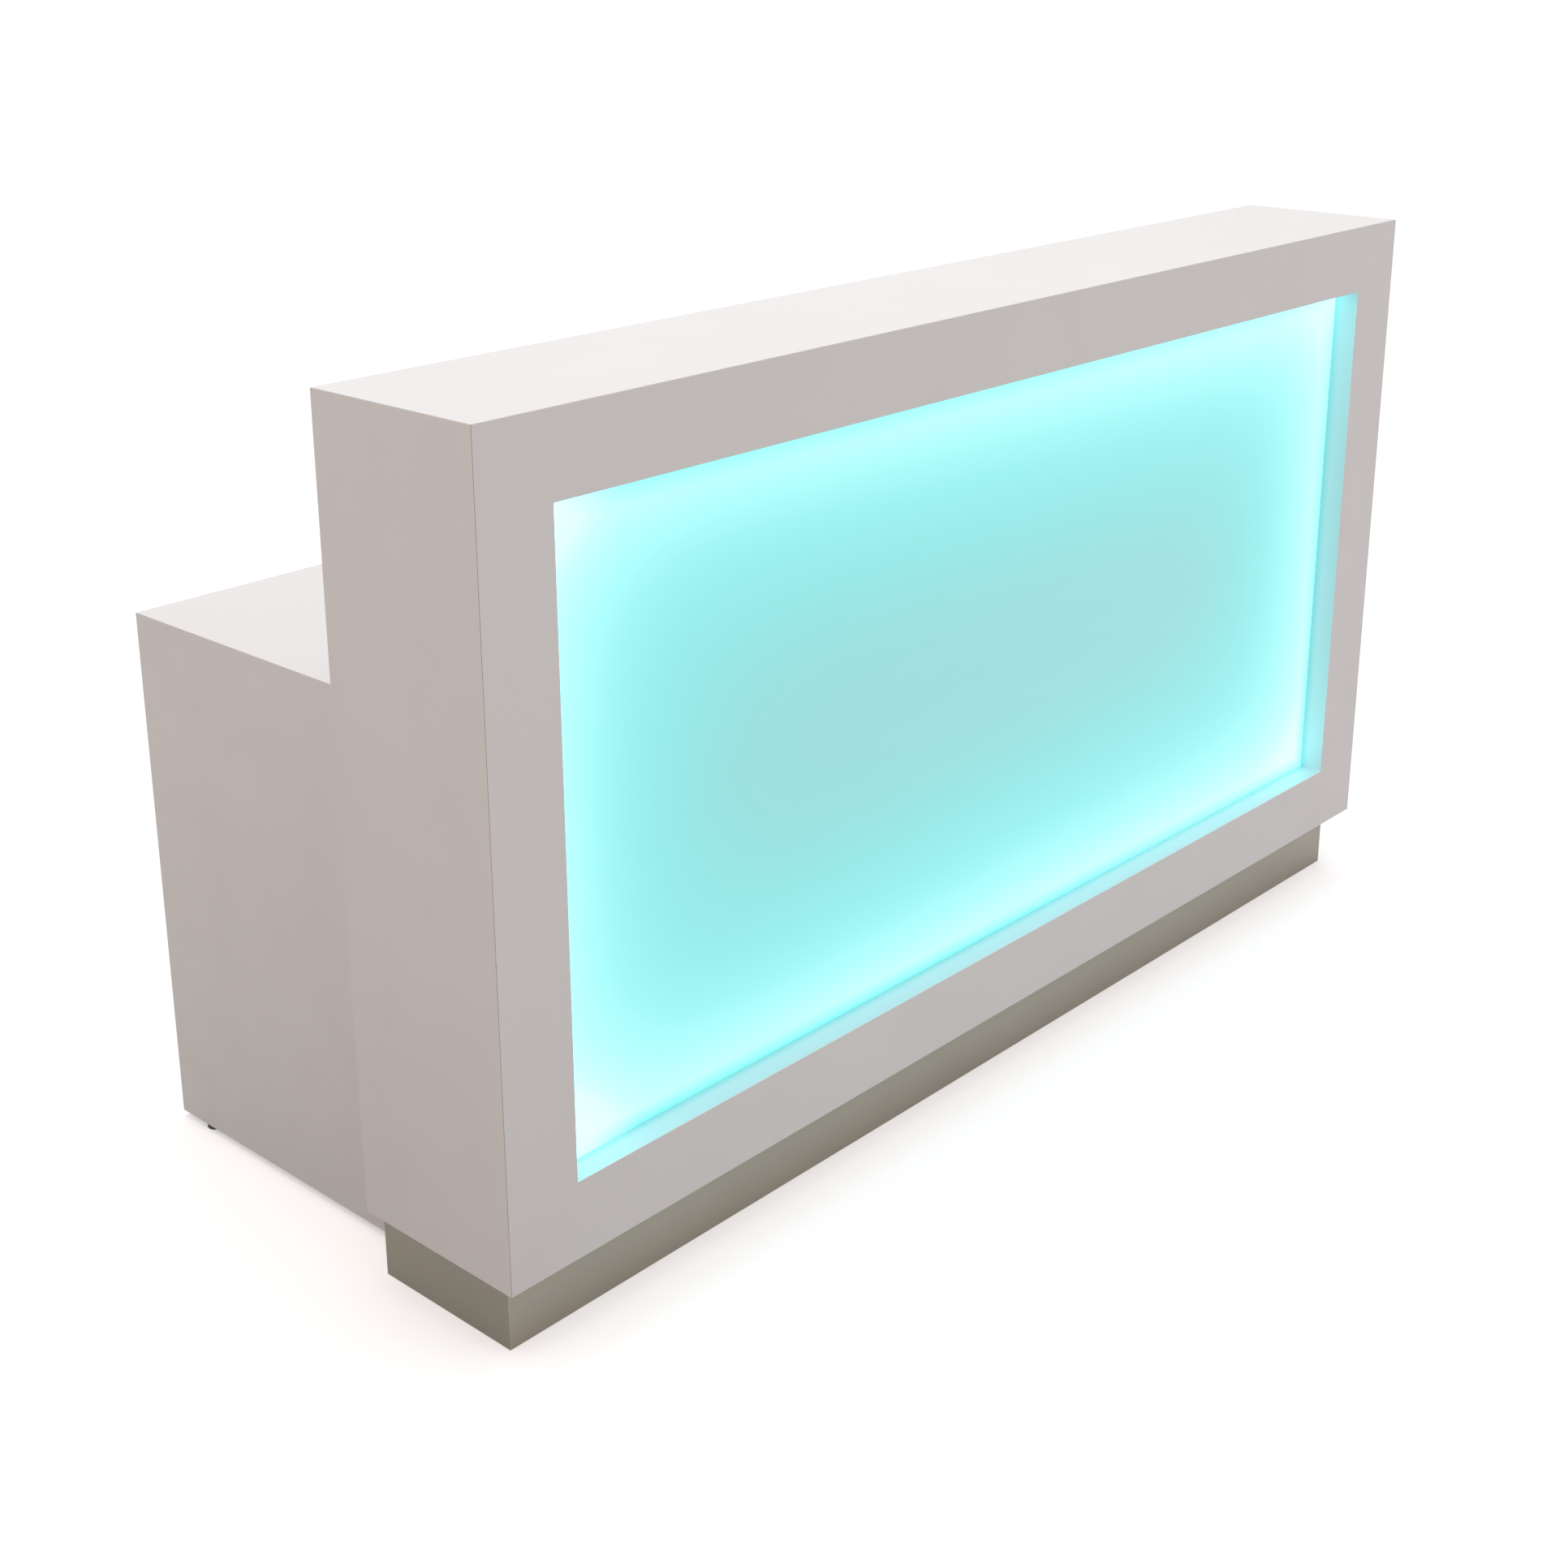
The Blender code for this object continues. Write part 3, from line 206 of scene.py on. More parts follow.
room = bpy.data.worlds.new("studio")
room.use_nodes = True
bpy.context.scene.world = room
bpy.context.scene.view_settings.view_transform = "Standard"
tree = room.node_tree
tree.nodes.clear()
direction = add_node(tree, "ShaderNodeTexCoord", {}).outputs["Generated"]
from_right = add_node(tree, "ShaderNodeSeparateXYZ", {0: direction}).outputs["X"]
sweep = {"Value": from_right, "From Min": WARM_FROM, "From Max": NEUTRAL_FROM}
neutral = add_node(tree, "ShaderNodeMapRange", sweep).outputs[0]
tones = {SHARE: neutral, COLOUR_A: linear("F8EDE4"), COLOUR_B: linear("FEF9FC")}
fill_colour = add_node(tree, "ShaderNodeMix", tones, data_type="RGBA").outputs[MIXED_COLOUR]
soft_light = {"Color": fill_colour, "Strength": FILL_STRENGTH}
fill = add_node(tree, "ShaderNodeBackground", soft_light).outputs[0]
plain_white = {"Color": linear("FFFFFF"), "Strength": 1.0}
plain = add_node(tree, "ShaderNodeBackground", plain_white).outputs[0]
either = add_node(tree, "ShaderNodeMixShader", {0: seen_directly(tree), 1: fill, 2: plain}).outputs[0]
add_node(tree, "ShaderNodeOutputWorld", {"Surface": either})
print("room, nodes:", len(tree.nodes))


# %% Lamps
def hang_lamp(name, hex_colour, place, aim, size, watts):
    lamp = bpy.data.lights.new(name, "AREA")
    lamp.shape = "DISK"
    lamp.size = size
    lamp.energy = watts
    lamp.color = linear(hex_colour)[:3]
    holder = bpy.data.objects.new(name, lamp)
    holder.location = place
    holder.rotation_euler = (holder.location - Vector(aim)).to_track_quat("Z", "Y").to_euler()
    bpy.context.scene.collection.objects.link(holder)
    print("lamp:", name, watts, "W")


hang_lamp("ceiling_softbox", "E9F9FF", place=(0.0, 0.2, 3.6), aim=(0.0, 0.0, 0.9), size=4.0, watts=30.7)
hang_lamp("cool_right_fill", "D7D3FF", place=(3.4, -3.0, 1.8), aim=(0.6, -0.37, 0.5), size=2.0, watts=4.7)
hang_lamp("warm_left_lamp", "FFC9C2", place=(-2.4, -0.6, 2.1), aim=(-0.9, -0.1, 0.9), size=1.0, watts=2.0)

# %% [markdown]
# ## White laminate
# High-pressure laminate is paper and resin pressed hard onto board, with a satin face.
# It could be one flat white, but then a large face looks like plastic film. A real sheet has soft
# clouds in its tone, a fine print, and a pearl texture from the press plate, which breaks up its shine.
# The pearl is about 1 mm on the real sheet, and is drawn at 2 mm here so that it shows at all.
# The thickness of the front, seen inside the window, is lined with a pale edge band. Next to the lit
# sheet the band is painted a deeper aqua: painted light, standing for the sheet's glow falling on it.
# The sheet is larger than the window, and laps behind the frame on all four sides.

# %% Lining of the window, with its painted glow
LAP = 20 * MM
PAINTED_GLOW_DEPTH = 13 * MM
FACE_CLEARANCE = 1 * MM
WALL_CLEARANCE = 0.2 * MM

panel_low, panel_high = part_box("diffuser_panel")
half_width = panel_high.x - LAP
half_height = (panel_high.z - panel_low.z) / 2 - LAP
middle_z = (panel_high.z + panel_low.z) / 2
front_y = solid_box[0][1]


def line_window_and_paint_glow(tree, place, colour, front_colour, painted_glow_colour):
    axes = add_node(tree, "ShaderNodeSeparateXYZ", {0: place}).outputs
    behind = {0: axes["Y"], 1: front_y + FACE_CLEARANCE}
    inside = add_node(tree, "ShaderNodeMath", behind, operation="GREATER_THAN").outputs[0]
    for axis, middle, half in (("X", 0.0, half_width), ("Z", middle_z, half_height)):
        walls = {0: axes[axis], 1: middle, 2: half + WALL_CLEARANCE}
        near = add_node(tree, "ShaderNodeMath", walls, operation="COMPARE").outputs[0]
        inside = add_node(tree, "ShaderNodeMath", {0: inside, 1: near}, operation="MULTIPLY").outputs[0]
    # Painted light: the band turns a deeper aqua towards the sheet, for the sheet's glow falling on it.
    depth = {"Value": axes["Y"], "From Min": panel_low.y - PAINTED_GLOW_DEPTH, "From Max": panel_low.y}
    painted_glow_share = add_node(tree, "ShaderNodeMapRange", depth).outputs[0]
    tones = {SHARE: painted_glow_share, COLOUR_A: linear(front_colour), COLOUR_B: linear(painted_glow_colour)}
    band = add_node(tree, "ShaderNodeMix", tones, data_type="RGBA").outputs[MIXED_COLOUR]
    faces = {SHARE: inside, COLOUR_A: colour, COLOUR_B: band}
    return add_node(tree, "ShaderNodeMix", faces, data_type="RGBA").outputs[MIXED_COLOUR]


print("window, half sizes:", half_width, half_height)

# %% Laminate
CLOUD = 220 * MM
PRINT = 3 * MM
PRINT_SHARE = 0.35
SMEAR = 70 * MM
PEARL = 2 * MM
# Most values of a noise lie between these two.
NOISE_LOW = 0.3
NOISE_HIGH = 0.7


def press_laminate(name, pale, deep, roughness, lining=None):
    finish, tree, place = start_finish(name)
    cloud = add_node(tree, "ShaderNodeTexNoise", {"Vector": place, "Scale": 1 / CLOUD, "Detail": 3.0})
    ink = add_node(tree, "ShaderNodeTexNoise", {"Vector": place, "Scale": 1 / PRINT, "Detail": 2.0})
    layers = {SHARE: PRINT_SHARE, VALUE_A: cloud.outputs[0], VALUE_B: ink.outputs[0]}
    tone = add_node(tree, "ShaderNodeMix", layers, data_type="FLOAT").outputs[0]
    tones = {SHARE: tone, COLOUR_A: linear(deep), COLOUR_B: linear(pale)}
    colour = add_node(tree, "ShaderNodeMix", tones, data_type="RGBA").outputs[MIXED_COLOUR]
    if lining:
        colour = line_window_and_paint_glow(tree, place, colour, *lining)
    smear = add_node(tree, "ShaderNodeTexNoise", {"Vector": place, "Scale": 1 / SMEAR, "Detail": 4.0})
    wiped = {
        "Value": smear.outputs[0],
        "From Min": NOISE_LOW,
        "From Max": NOISE_HIGH,
        "To Min": roughness - 0.05,
        "To Max": roughness + 0.06,
    }
    shine = add_node(tree, "ShaderNodeMapRange", wiped).outputs[0]
    pearl = add_node(tree, "ShaderNodeTexNoise", {"Vector": place, "Scale": 1 / PEARL, "Detail": 1.5})
    pressed = {"Strength": 0.10, "Distance": 0.06 * MM, "Height": pearl.outputs[0]}
    press = add_node(tree, "ShaderNodeBump", pressed).outputs[0]
    return end_finish(finish, {"Base Color": colour, "Roughness": shine, "IOR": 1.5, "Normal": press})


WHITE = ("F0EEEC", "E9E6E3")
# The band's pale colour at the front, and its deeper aqua of painted glow next to the sheet.
EDGE_BAND_AND_PAINTED_GLOW = ("D6E3E8", "A4DEE3")
SATIN = 0.42
white_laminate = press_laminate("white_satin_laminate", *WHITE, SATIN)
window_laminate = press_laminate("white_satin_laminate_with_lining_and_painted_glow", *WHITE, SATIN, lining=EDGE_BAND_AND_PAINTED_GLOW)
pale_melamine = press_laminate("pale_melamine", "DEDBD6", "D2CEC8", 0.55)

# %% [markdown]
# ## The lit panel
# Opal acrylic is tinted and cloudy, so that a strip of lamps behind its rim shows as a soft glow and not
# as dots. Real lamps inside the box would need thousands of light paths to come through. Instead the
# sheet glows by itself: close to the strip it is almost white, and it sinks to a quiet aqua in the
# middle. Each side gives a share of light that fades with the distance from it. Where two sides meet,
# the second adds its share only of what the first has left over, so a corner isn't twice as bright. The
# right end is a little brighter than the left. Each corner also has a small round glow of its own, the
# strongest at the lower left.

# %% Glow of the sides
GLOW_REACH = 90 * MM
CORNER_ROUND = 22 * MM
LEFT_STRENGTH = 0.84
RIGHT_STRENGTH = 1.07

lit_acrylic, tree, place = start_finish("lit_aqua_acrylic")
axes = add_node(tree, "ShaderNodeSeparateXYZ", {0: place}).outputs
heights = {0: axes["Z"], 1: middle_z}
from_middle = add_node(tree, "ShaderNodeMath", heights, operation="SUBTRACT").outputs[0]
shares = []
beyond = []
for position, half in ((axes["X"], half_width), (from_middle, half_height)):
    out = add_node(tree, "ShaderNodeMath", {0: position}, operation="ABSOLUTE").outputs[0]
    over = add_node(tree, "ShaderNodeMath", {0: out, 1: half}, operation="SUBTRACT").outputs[0]
    fade = add_node(tree, "ShaderNodeMath", {0: over, 1: 1 / GLOW_REACH}, operation="MULTIPLY").outputs[0]
    shares.append(add_node(tree, "ShaderNodeMath", {0: fade}, operation="EXPONENT").outputs[0])
    rounded = add_node(tree, "ShaderNodeMath", {0: over, 1: CORNER_ROUND}, operation="ADD").outputs[0]
    beyond.append(rounded)
left_over = add_node(tree, "ShaderNodeMath", {0: 1.0, 1: shares[0]}, operation="SUBTRACT").outputs[0]
lights = {0: shares[1], 1: left_over, 2: shares[0]}
both = add_node(tree, "ShaderNodeMath", lights, operation="MULTIPLY_ADD").outputs[0]
along = {
    "Value": axes["X"],
    "From Min": -half_width,
    "From Max": half_width,
    "To Min": LEFT_STRENGTH,
    "To Max": RIGHT_STRENGTH,
}
strength = add_node(tree, "ShaderNodeMapRange", along).outputs[0]
glow = add_node(tree, "ShaderNodeMath", {0: both, 1: strength}, operation="MULTIPLY").outputs[0]
print("glow of the sides, nodes:", len(tree.nodes))

# %% Glow of the corners
CORNER_REACH = 36 * MM
# Each corner: its side of the middle across and up, and its share.
CORNER_SHARES = ((-1, -1, 4.0), (1, -1, 1.4), (-1, 1, 2.8), (1, 1, 1.0))


def near_corner(tree, place, across, up, reach):
    corner = (across * half_width, panel_low.y, middle_z + up * half_height)
    ends = {0: place, 1: corner}
    apart = add_node(tree, "ShaderNodeVectorMath", ends, operation="DISTANCE").outputs["Value"]
    falling = {0: apart, 1: -1 / reach}
    fade = add_node(tree, "ShaderNodeMath", falling, operation="MULTIPLY").outputs[0]
    return add_node(tree, "ShaderNodeMath", {0: fade}, operation="EXPONENT").outputs[0]


for across, up, share in CORNER_SHARES:
    lights = {0: near_corner(tree, place, across, up, CORNER_REACH), 1: share, 2: glow}
    glow = add_node(tree, "ShaderNodeMath", lights, operation="MULTIPLY_ADD").outputs[0]
print("with the corners, nodes:", len(tree.nodes))

# %% [markdown]
# ## The shaded rim
# Where the sheet meets the frame, a thin line stays in shade. It could be a separate strip of mesh, but
# its soft inner edge is easier to draw. It is wider at the top and softer on the bright right side. The
# glow drowns it along the left side, and in the upper right corner. It is drawn from the distance to a
# rectangle with rounded corners.

# %% Distance to the rim
RIM_LINE = 30 * MM
RIM_SLANT = 8 * MM

past = []
for value in beyond:
    past.append(add_node(tree, "ShaderNodeMath", {0: value, 1: 0.0}, operation="MAXIMUM").outputs[0])
corner = add_node(tree, "ShaderNodeCombineXYZ", {0: past[0], 1: past[1]}).outputs[0]
outward = add_node(tree, "ShaderNodeVectorMath", {0: corner}, operation="LENGTH").outputs["Value"]
nearer = add_node(tree, "ShaderNodeMath", {0: beyond[0], 1: beyond[1]}, operation="MAXIMUM").outputs[0]
inward = add_node(tree, "ShaderNodeMath", {0: nearer, 1: 0.0}, operation="MINIMUM").outputs[0]
to_rim = add_node(tree, "ShaderNodeMath", {0: outward, 1: inward}, operation="ADD").outputs[0]
slant = {0: from_middle, 1: -RIM_SLANT / half_height, 2: CORNER_ROUND - RIM_LINE}
rim_start = add_node(tree, "ShaderNodeMath", slant, operation="MULTIPLY_ADD").outputs[0]
line = {"Value": to_rim, "From Min": rim_start, "From Max": CORNER_ROUND}
rim = add_node(tree, "ShaderNodeMapRange", line).outputs[0]
print("with the rim, nodes:", len(tree.nodes))

# %% Where the rim fades
# Each fade runs between two places, in shares of the half width, and from one strength to another.
RIM_FADES = ((-0.96, -0.84, 0.0, 1.0), (0.0, 1.0, 1.0, 0.68))
DROWNED_REACH = 80 * MM
DROWNED_SHARE = 1.1

for start, end, start_strength, end_strength in RIM_FADES:
    span = {
        "Value": axes["X"],
        "From Min": start * half_width,
        "From Max": end * half_width,
        "To Min": start_strength,
        "To Max": end_strength,
    }
    part = add_node(tree, "ShaderNodeMapRange", span).outputs[0]
    rim = add_node(tree, "ShaderNodeMath", {0: rim, 1: part}, operation="MULTIPLY").outputs[0]
drowned = {0: near_corner(tree, place, 1, 1, DROWNED_REACH), 1: -DROWNED_SHARE, 2: 1.0}
kept = add_node(tree, "ShaderNodeMath", drowned, operation="MULTIPLY_ADD", use_clamp=True).outputs[0]
rim = add_node(tree, "ShaderNodeMath", {0: rim, 1: kept}, operation="MULTIPLY").outputs[0]
print("with its fades, nodes:", len(tree.nodes))

# %% Colours of the glow
GLOW_TOP = 1.7
GLOW_STRENGTH = 2.0
GLOW_STOPS = (
    (0.00, "618484"),
    (0.035, "5E8786"),
    (0.10, "5A8F8F"),
    (0.22, "5F9898"),
    (0.385, "6DA2A2"),
    (0.57, "7DBCBC"),
    (0.75, "89D7D7"),
    (1.02, "9DECEC"),
    (1.20, "A0F8F8"),
    (1.50, "A4FFFF"),
)


def set_stops(elements, stops):
    for number, (at, hex_colour) in enumerate(stops):
        element = elements[number] if number < 2 else elements.new(at)
        element.position = at
        element.color = linear(hex_colour)


level = add_node(tree, "ShaderNodeMath", {0: glow, 1: 1 / GLOW_TOP}, operation="MULTIPLY").outputs[0]
ramp = add_node(tree, "ShaderNodeValToRGB", {"Fac": level})
set_stops(ramp.color_ramp.elements, [(at / GLOW_TOP, hex_colour) for at, hex_colour in GLOW_STOPS])
tones = {SHARE: rim, COLOUR_A: ramp.outputs["Color"], COLOUR_B: linear("539995")}
shaded = add_node(tree, "ShaderNodeMix", tones, data_type="RGBA").outputs[MIXED_COLOUR]
print("glow, stops:", len(GLOW_STOPS))

# %% Skin of the acrylic
HAZE = 4 * MM

cloudy = {"Vector": place, "Scale": 1 / HAZE, "Detail": 2.0}
haze = add_node(tree, "ShaderNodeTexNoise", cloudy).outputs[0]
satin = {"Value": haze, "From Min": NOISE_LOW, "From Max": NOISE_HIGH, "To Min": 0.34, "To Max": 0.42}
shine = add_node(tree, "ShaderNodeMapRange", satin).outputs[0]
ripple = {"Strength": 0.06, "Distance": 0.05 * MM, "Height": haze}
skin = add_node(tree, "ShaderNodeBump", ripple).outputs[0]
end_finish(
    lit_acrylic,
    {
        "Base Color": linear("5FA6A6"),
        "Roughness": shine,
        "IOR": 1.49,
        "Normal": skin,
        "Emission Color": shaded,
        "Emission Strength": GLOW_STRENGTH,
    },
)

# %% [markdown]
# ## Steel
# The plinth is clad in stainless steel that was brushed along its length with a belt. The belt leaves
# fine parallel scratches, which stretch a reflection across the grain. Noise that is stretched along the
# grain gives both the tone and the scratches. The grain is about 0.3 mm wide on the real plate, and
# 1.2 mm here so that it shows. A ramp over the front plate's height paints reflection into its colour:
# browner at the foot, lightest in a band across the middle, and greyer at the top. A knob is turned on
# a lathe instead, and its scratches run round its axis.

# %% Turned steel, and the kick plate's painted reflection
plate_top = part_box("kick_plate_front")[1].z


def turn_round(tree, place, middle):
    points = {0: place, 1: middle}
    from_axis = add_node(tree, "ShaderNodeVectorMath", points, operation="SUBTRACT").outputs[0]
    without_y = {0: from_axis, 1: (1, 0, 1)}
    flat = add_node(tree, "ShaderNodeVectorMath", without_y, operation="MULTIPLY").outputs[0]
    radius = add_node(tree, "ShaderNodeVectorMath", {0: flat}, operation="LENGTH").outputs["Value"]
    height = add_node(tree, "ShaderNodeSeparateXYZ", {0: from_axis}).outputs["Y"]
    return add_node(tree, "ShaderNodeCombineXYZ", {0: radius, 1: height}).outputs[0]


# Painted reflection: a ramp over the plate's height tints its colour, browner at the foot and lightest
# across the middle.
def paint_reflection_ramp(tree, place, colour, reflection_stops):
    height = add_node(tree, "ShaderNodeSeparateXYZ", {0: place}).outputs["Z"]
    share = add_node(tree, "ShaderNodeMapRange", {"Value": height, "From Max": plate_top}).outputs[0]
    ramp = add_node(tree, "ShaderNodeValToRGB", {"Fac": share})
    set_stops(ramp.color_ramp.elements, reflection_stops)
    tones = {SHARE: 1.0, COLOUR_A: colour, COLOUR_B: ramp.outputs["Color"]}
    shaded = add_node(tree, "ShaderNodeMix", tones, data_type="RGBA", blend_type="MULTIPLY")
    return shaded.outputs[MIXED_COLOUR]


print("top of the kick plate:", plate_top)

# %% Brushed steel
SMUDGE = 160 * MM
SMUDGE_SHARE = 0.35
SCRATCH_LOW = 0.25
SCRATCH_HIGH = 0.75
ALONG = 1 / (120 * MM)
ACROSS = 1 / (1.2 * MM)
# Stops of the painted reflection, from the foot of the kick plate to its top.
PAINTED_REFLECTION_STOPS = ((0.0, "F4EFED"), (0.25, "FAF8F7"), (0.55, "FFFFFF"), (0.8, "F6FAF4"), (1.0, "E6EAE4"))


def brush_steel(name, stretch, pale, deep, roughness, reflection_stops=None, turned_about=None):
    finish, tree, place = start_finish(name)
    grain_place = turn_round(tree, place, turned_about) if turned_about else place
    stretched = {0: grain_place, 1: stretch}
    grain = add_node(tree, "ShaderNodeVectorMath", stretched, operation="MULTIPLY").outputs[0]
    belt = {"Vector": grain, "Scale": 1.0, "Detail": 4.0, "Roughness": 0.65}
    scratch = add_node(tree, "ShaderNodeTexNoise", belt).outputs[0]
    touched = {"Vector": place, "Scale": 1 / SMUDGE, "Detail": 2.0}
    smudge = add_node(tree, "ShaderNodeTexNoise", touched).outputs[0]
    layers = {SHARE: SMUDGE_SHARE, VALUE_A: scratch, VALUE_B: smudge}
    tone = add_node(tree, "ShaderNodeMix", layers, data_type="FLOAT").outputs[0]
    tones = {SHARE: tone, COLOUR_A: linear(deep), COLOUR_B: linear(pale)}
    colour = add_node(tree, "ShaderNodeMix", tones, data_type="RGBA").outputs[MIXED_COLOUR]
    if reflection_stops:
        colour = paint_reflection_ramp(tree, place, colour, reflection_stops)
    polish = {
        "Value": scratch,
        "From Min": SCRATCH_LOW,
        "From Max": SCRATCH_HIGH,
        "To Min": roughness - 0.06,
        "To Max": roughness + 0.08,
    }
    shine = add_node(tree, "ShaderNodeMapRange", polish).outputs[0]
    cut = {"Strength": 0.12, "Distance": 0.04 * MM, "Height": scratch}
    groove = add_node(tree, "ShaderNodeBump", cut).outputs[0]
    look = {"Base Color": colour, "Metallic": 1.0, "Roughness": shine, "Normal": groove}
    return end_finish(finish, look)


# The same steel is painted lighter on the front plate and darker on the side plate: painted light and
# shade, for how the light falls on each.
front_plate_painted_lighter = brush_steel(
    "steel_brushed_along_x_painted_lighter", (ALONG, ACROSS, ACROSS), "9F9B91", "8C887D", 0.40, reflection_stops=PAINTED_REFLECTION_STOPS
)
side_plate_painted_darker = brush_steel("steel_brushed_along_y_painted_darker", (ACROSS, ALONG, ACROSS), "8B867B", "797469", 0.40)

# %% Other steel pieces
pull_grain = (1 / (40 * MM), 1 / (0.8 * MM), 1 / (0.8 * MM))
pull_steel = brush_steel("steel_pull_satin_nickel", pull_grain, "C4C2BE", "ABA9A5", 0.30)
knob_low, knob_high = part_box("hatch_knob")
knob_middle = tuple((knob_low + knob_high) / 2)
knob_grain = (1 / (0.6 * MM), 1 / (0.6 * MM), 1)
knob_steel = brush_steel(
    "steel_knob_turned", knob_grain, "C4C2BE", "A3A19D", 0.28, turned_about=knob_middle
)
zinc_grain = (1 / (9 * MM),) * 3
plated_steel = brush_steel("steel_zinc_plated", zinc_grain, "BDBFC1", "A2A5A8", 0.36)

# %% [markdown]
# ## Moulded plastics, paint and sheathing
# The grommets, the inlet, its rocker and the catch are moulded. The mould is spark-eroded, which leaves a
# fine even grain and a dull shine. The grain is 0.1 to 0.2 mm on the real pieces, and about 0.6 mm here.
# The light box's matt paint, the driver's bead-blasted case, the leads' sheathing and the feet's black
# coat have the same build with other grains.

# %% Plastics
BLOOM = 15 * MM


def mould(name, pale, deep, roughness, grain, metallic=0.0, ink=None):
    finish, tree, place = start_finish(name)
    sparks = {"Vector": place, "Scale": 1 / grain, "Detail": 3.0}
    eroded = add_node(tree, "ShaderNodeTexNoise", sparks).outputs[0]
    clouds = {"Vector": place, "Scale": 1 / BLOOM, "Detail": 2.0}
    bloom = add_node(tree, "ShaderNodeTexNoise", clouds).outputs[0]
    tones = {SHARE: bloom, COLOUR_A: linear(deep), COLOUR_B: linear(pale)}
    colour = add_node(tree, "ShaderNodeMix", tones, data_type="RGBA").outputs[MIXED_COLOUR]
    if ink:
        axes = add_node(tree, "ShaderNodeSeparateXYZ", {0: place}).outputs
        marked = ink["where"](tree, axes)
        layers = {SHARE: marked, COLOUR_A: colour, COLOUR_B: linear(ink["colour"])}
        colour = add_node(tree, "ShaderNodeMix", layers, data_type="RGBA").outputs[MIXED_COLOUR]
        if ink["metal"]:
            metallic = marked
    dull = {
        "Value": eroded,
        "From Min": NOISE_LOW,
        "From Max": NOISE_HIGH,
        "To Min": roughness - 0.06,
        "To Max": roughness + 0.06,
    }
    shine = add_node(tree, "ShaderNodeMapRange", dull).outputs[0]
    pitted = {"Strength": 0.25, "Distance": 0.05 * MM, "Height": eroded}
    pits = add_node(tree, "ShaderNodeBump", pitted).outputs[0]
    look = {"Base Color": colour, "Metallic": metallic, "Roughness": shine, "Normal": pits}
    return end_finish(finish, look)


grey_abs = mould("grey_moulded_abs", "AEB0B1", "A3A5A7", 0.45, 0.6 * MM)
lead_sheath = mould("black_lead_sheath", "2A2A2A", "222222", 0.55, 1.2 * MM)
box_paint = mould("matt_white_box_paint", "F4F5F5", "EEF0F0", 0.62, 1.5 * MM)
driver_case = mould("aluminium_bead_blasted", "C9CACB", "B4B6B8", 0.48, 0.8 * MM, metallic=1.0)

# %% [markdown]
# ## Inlet, rocker and feet
# Three of the black pieces carry a second material: the inlet has nickel pins in its socket, the rocker
# has its two marks printed on, and each foot has a zinc-plated stud. They could be cut into separate
# pieces. A mask made from the place on the solid does it with a few nodes instead.

# %% Pins of the inlet
SOCKET_ASIDE = 12.5 * MM
PINS_HALF_WIDTH = 8.6 * MM
PINS_HALF_HEIGHT = 2.3 * MM
PINS_DEPTH = 15.8 * MM
inlet_low, inlet_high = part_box("power_inlet")
inlet_middle = (inlet_low + inlet_high) / 2


def on_pins(tree, axes):
    width = {0: axes["X"], 1: inlet_middle.x - SOCKET_ASIDE, 2: PINS_HALF_WIDTH}
    across = add_node(tree, "ShaderNodeMath", width, operation="COMPARE").outputs[0]
    height = {0: axes["Z"], 1: inlet_middle.z, 2: PINS_HALF_HEIGHT}
    upright = add_node(tree, "ShaderNodeMath", height, operation="COMPARE").outputs[0]
    depth = {0: axes["Y"], 1: inlet_high.y - PINS_DEPTH}
    out = add_node(tree, "ShaderNodeMath", depth, operation="GREATER_THAN").outputs[0]
    both = add_node(tree, "ShaderNodeMath", {0: across, 1: upright}, operation="MULTIPLY").outputs[0]
    return add_node(tree, "ShaderNodeMath", {0: both, 1: out}, operation="MULTIPLY").outputs[0]


pins = {"where": on_pins, "colour": "C9C6C0", "metal": True}
inlet_abs = mould("black_abs_inlet_with_pins", "2B2B2C", "232324", 0.42, 0.6 * MM, ink=pins)

# %% Marks of the rocker
MARK_ASIDE = 5 * MM
MARK_HALF_LINE = 0.4 * MM
BAR_HALF_LENGTH = 1.7 * MM
RING_RADIUS = 1.5 * MM
rocker_low, rocker_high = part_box("power_rocker")
rocker_middle = (rocker_low + rocker_high) / 2


def on_marks(tree, axes):
    width = {0: axes["X"], 1: rocker_middle.x, 2: MARK_HALF_LINE}
    across = add_node(tree, "ShaderNodeMath", width, operation="COMPARE").outputs[0]
    height = {0: axes["Z"], 1: rocker_middle.z + MARK_ASIDE, 2: BAR_HALF_LENGTH}
    upright = add_node(tree, "ShaderNodeMath", height, operation="COMPARE").outputs[0]
    bar = add_node(tree, "ShaderNodeMath", {0: across, 1: upright}, operation="MULTIPLY").outputs[0]
    flat = add_node(tree, "ShaderNodeCombineXYZ", {0: axes["X"], 2: axes["Z"]}).outputs[0]
    ring_middle = (rocker_middle.x, 0.0, rocker_middle.z - MARK_ASIDE)
    apart = {0: flat, 1: ring_middle}
    radius = add_node(tree, "ShaderNodeVectorMath", apart, operation="DISTANCE").outputs["Value"]
    line = {0: radius, 1: RING_RADIUS, 2: MARK_HALF_LINE}
    ring = add_node(tree, "ShaderNodeMath", line, operation="COMPARE").outputs[0]
    return add_node(tree, "ShaderNodeMath", {0: bar, 1: ring}, operation="MAXIMUM").outputs[0]


marks = {"where": on_marks, "colour": "E8E8E6", "metal": False}
rocker_abs = mould("black_abs_rocker_with_marks", "303031", "272728", 0.36, 0.6 * MM, ink=marks)

# %% Studs of the feet
FOOT_HEIGHT = 8 * MM
STUD_CLEARANCE = 0.2 * MM


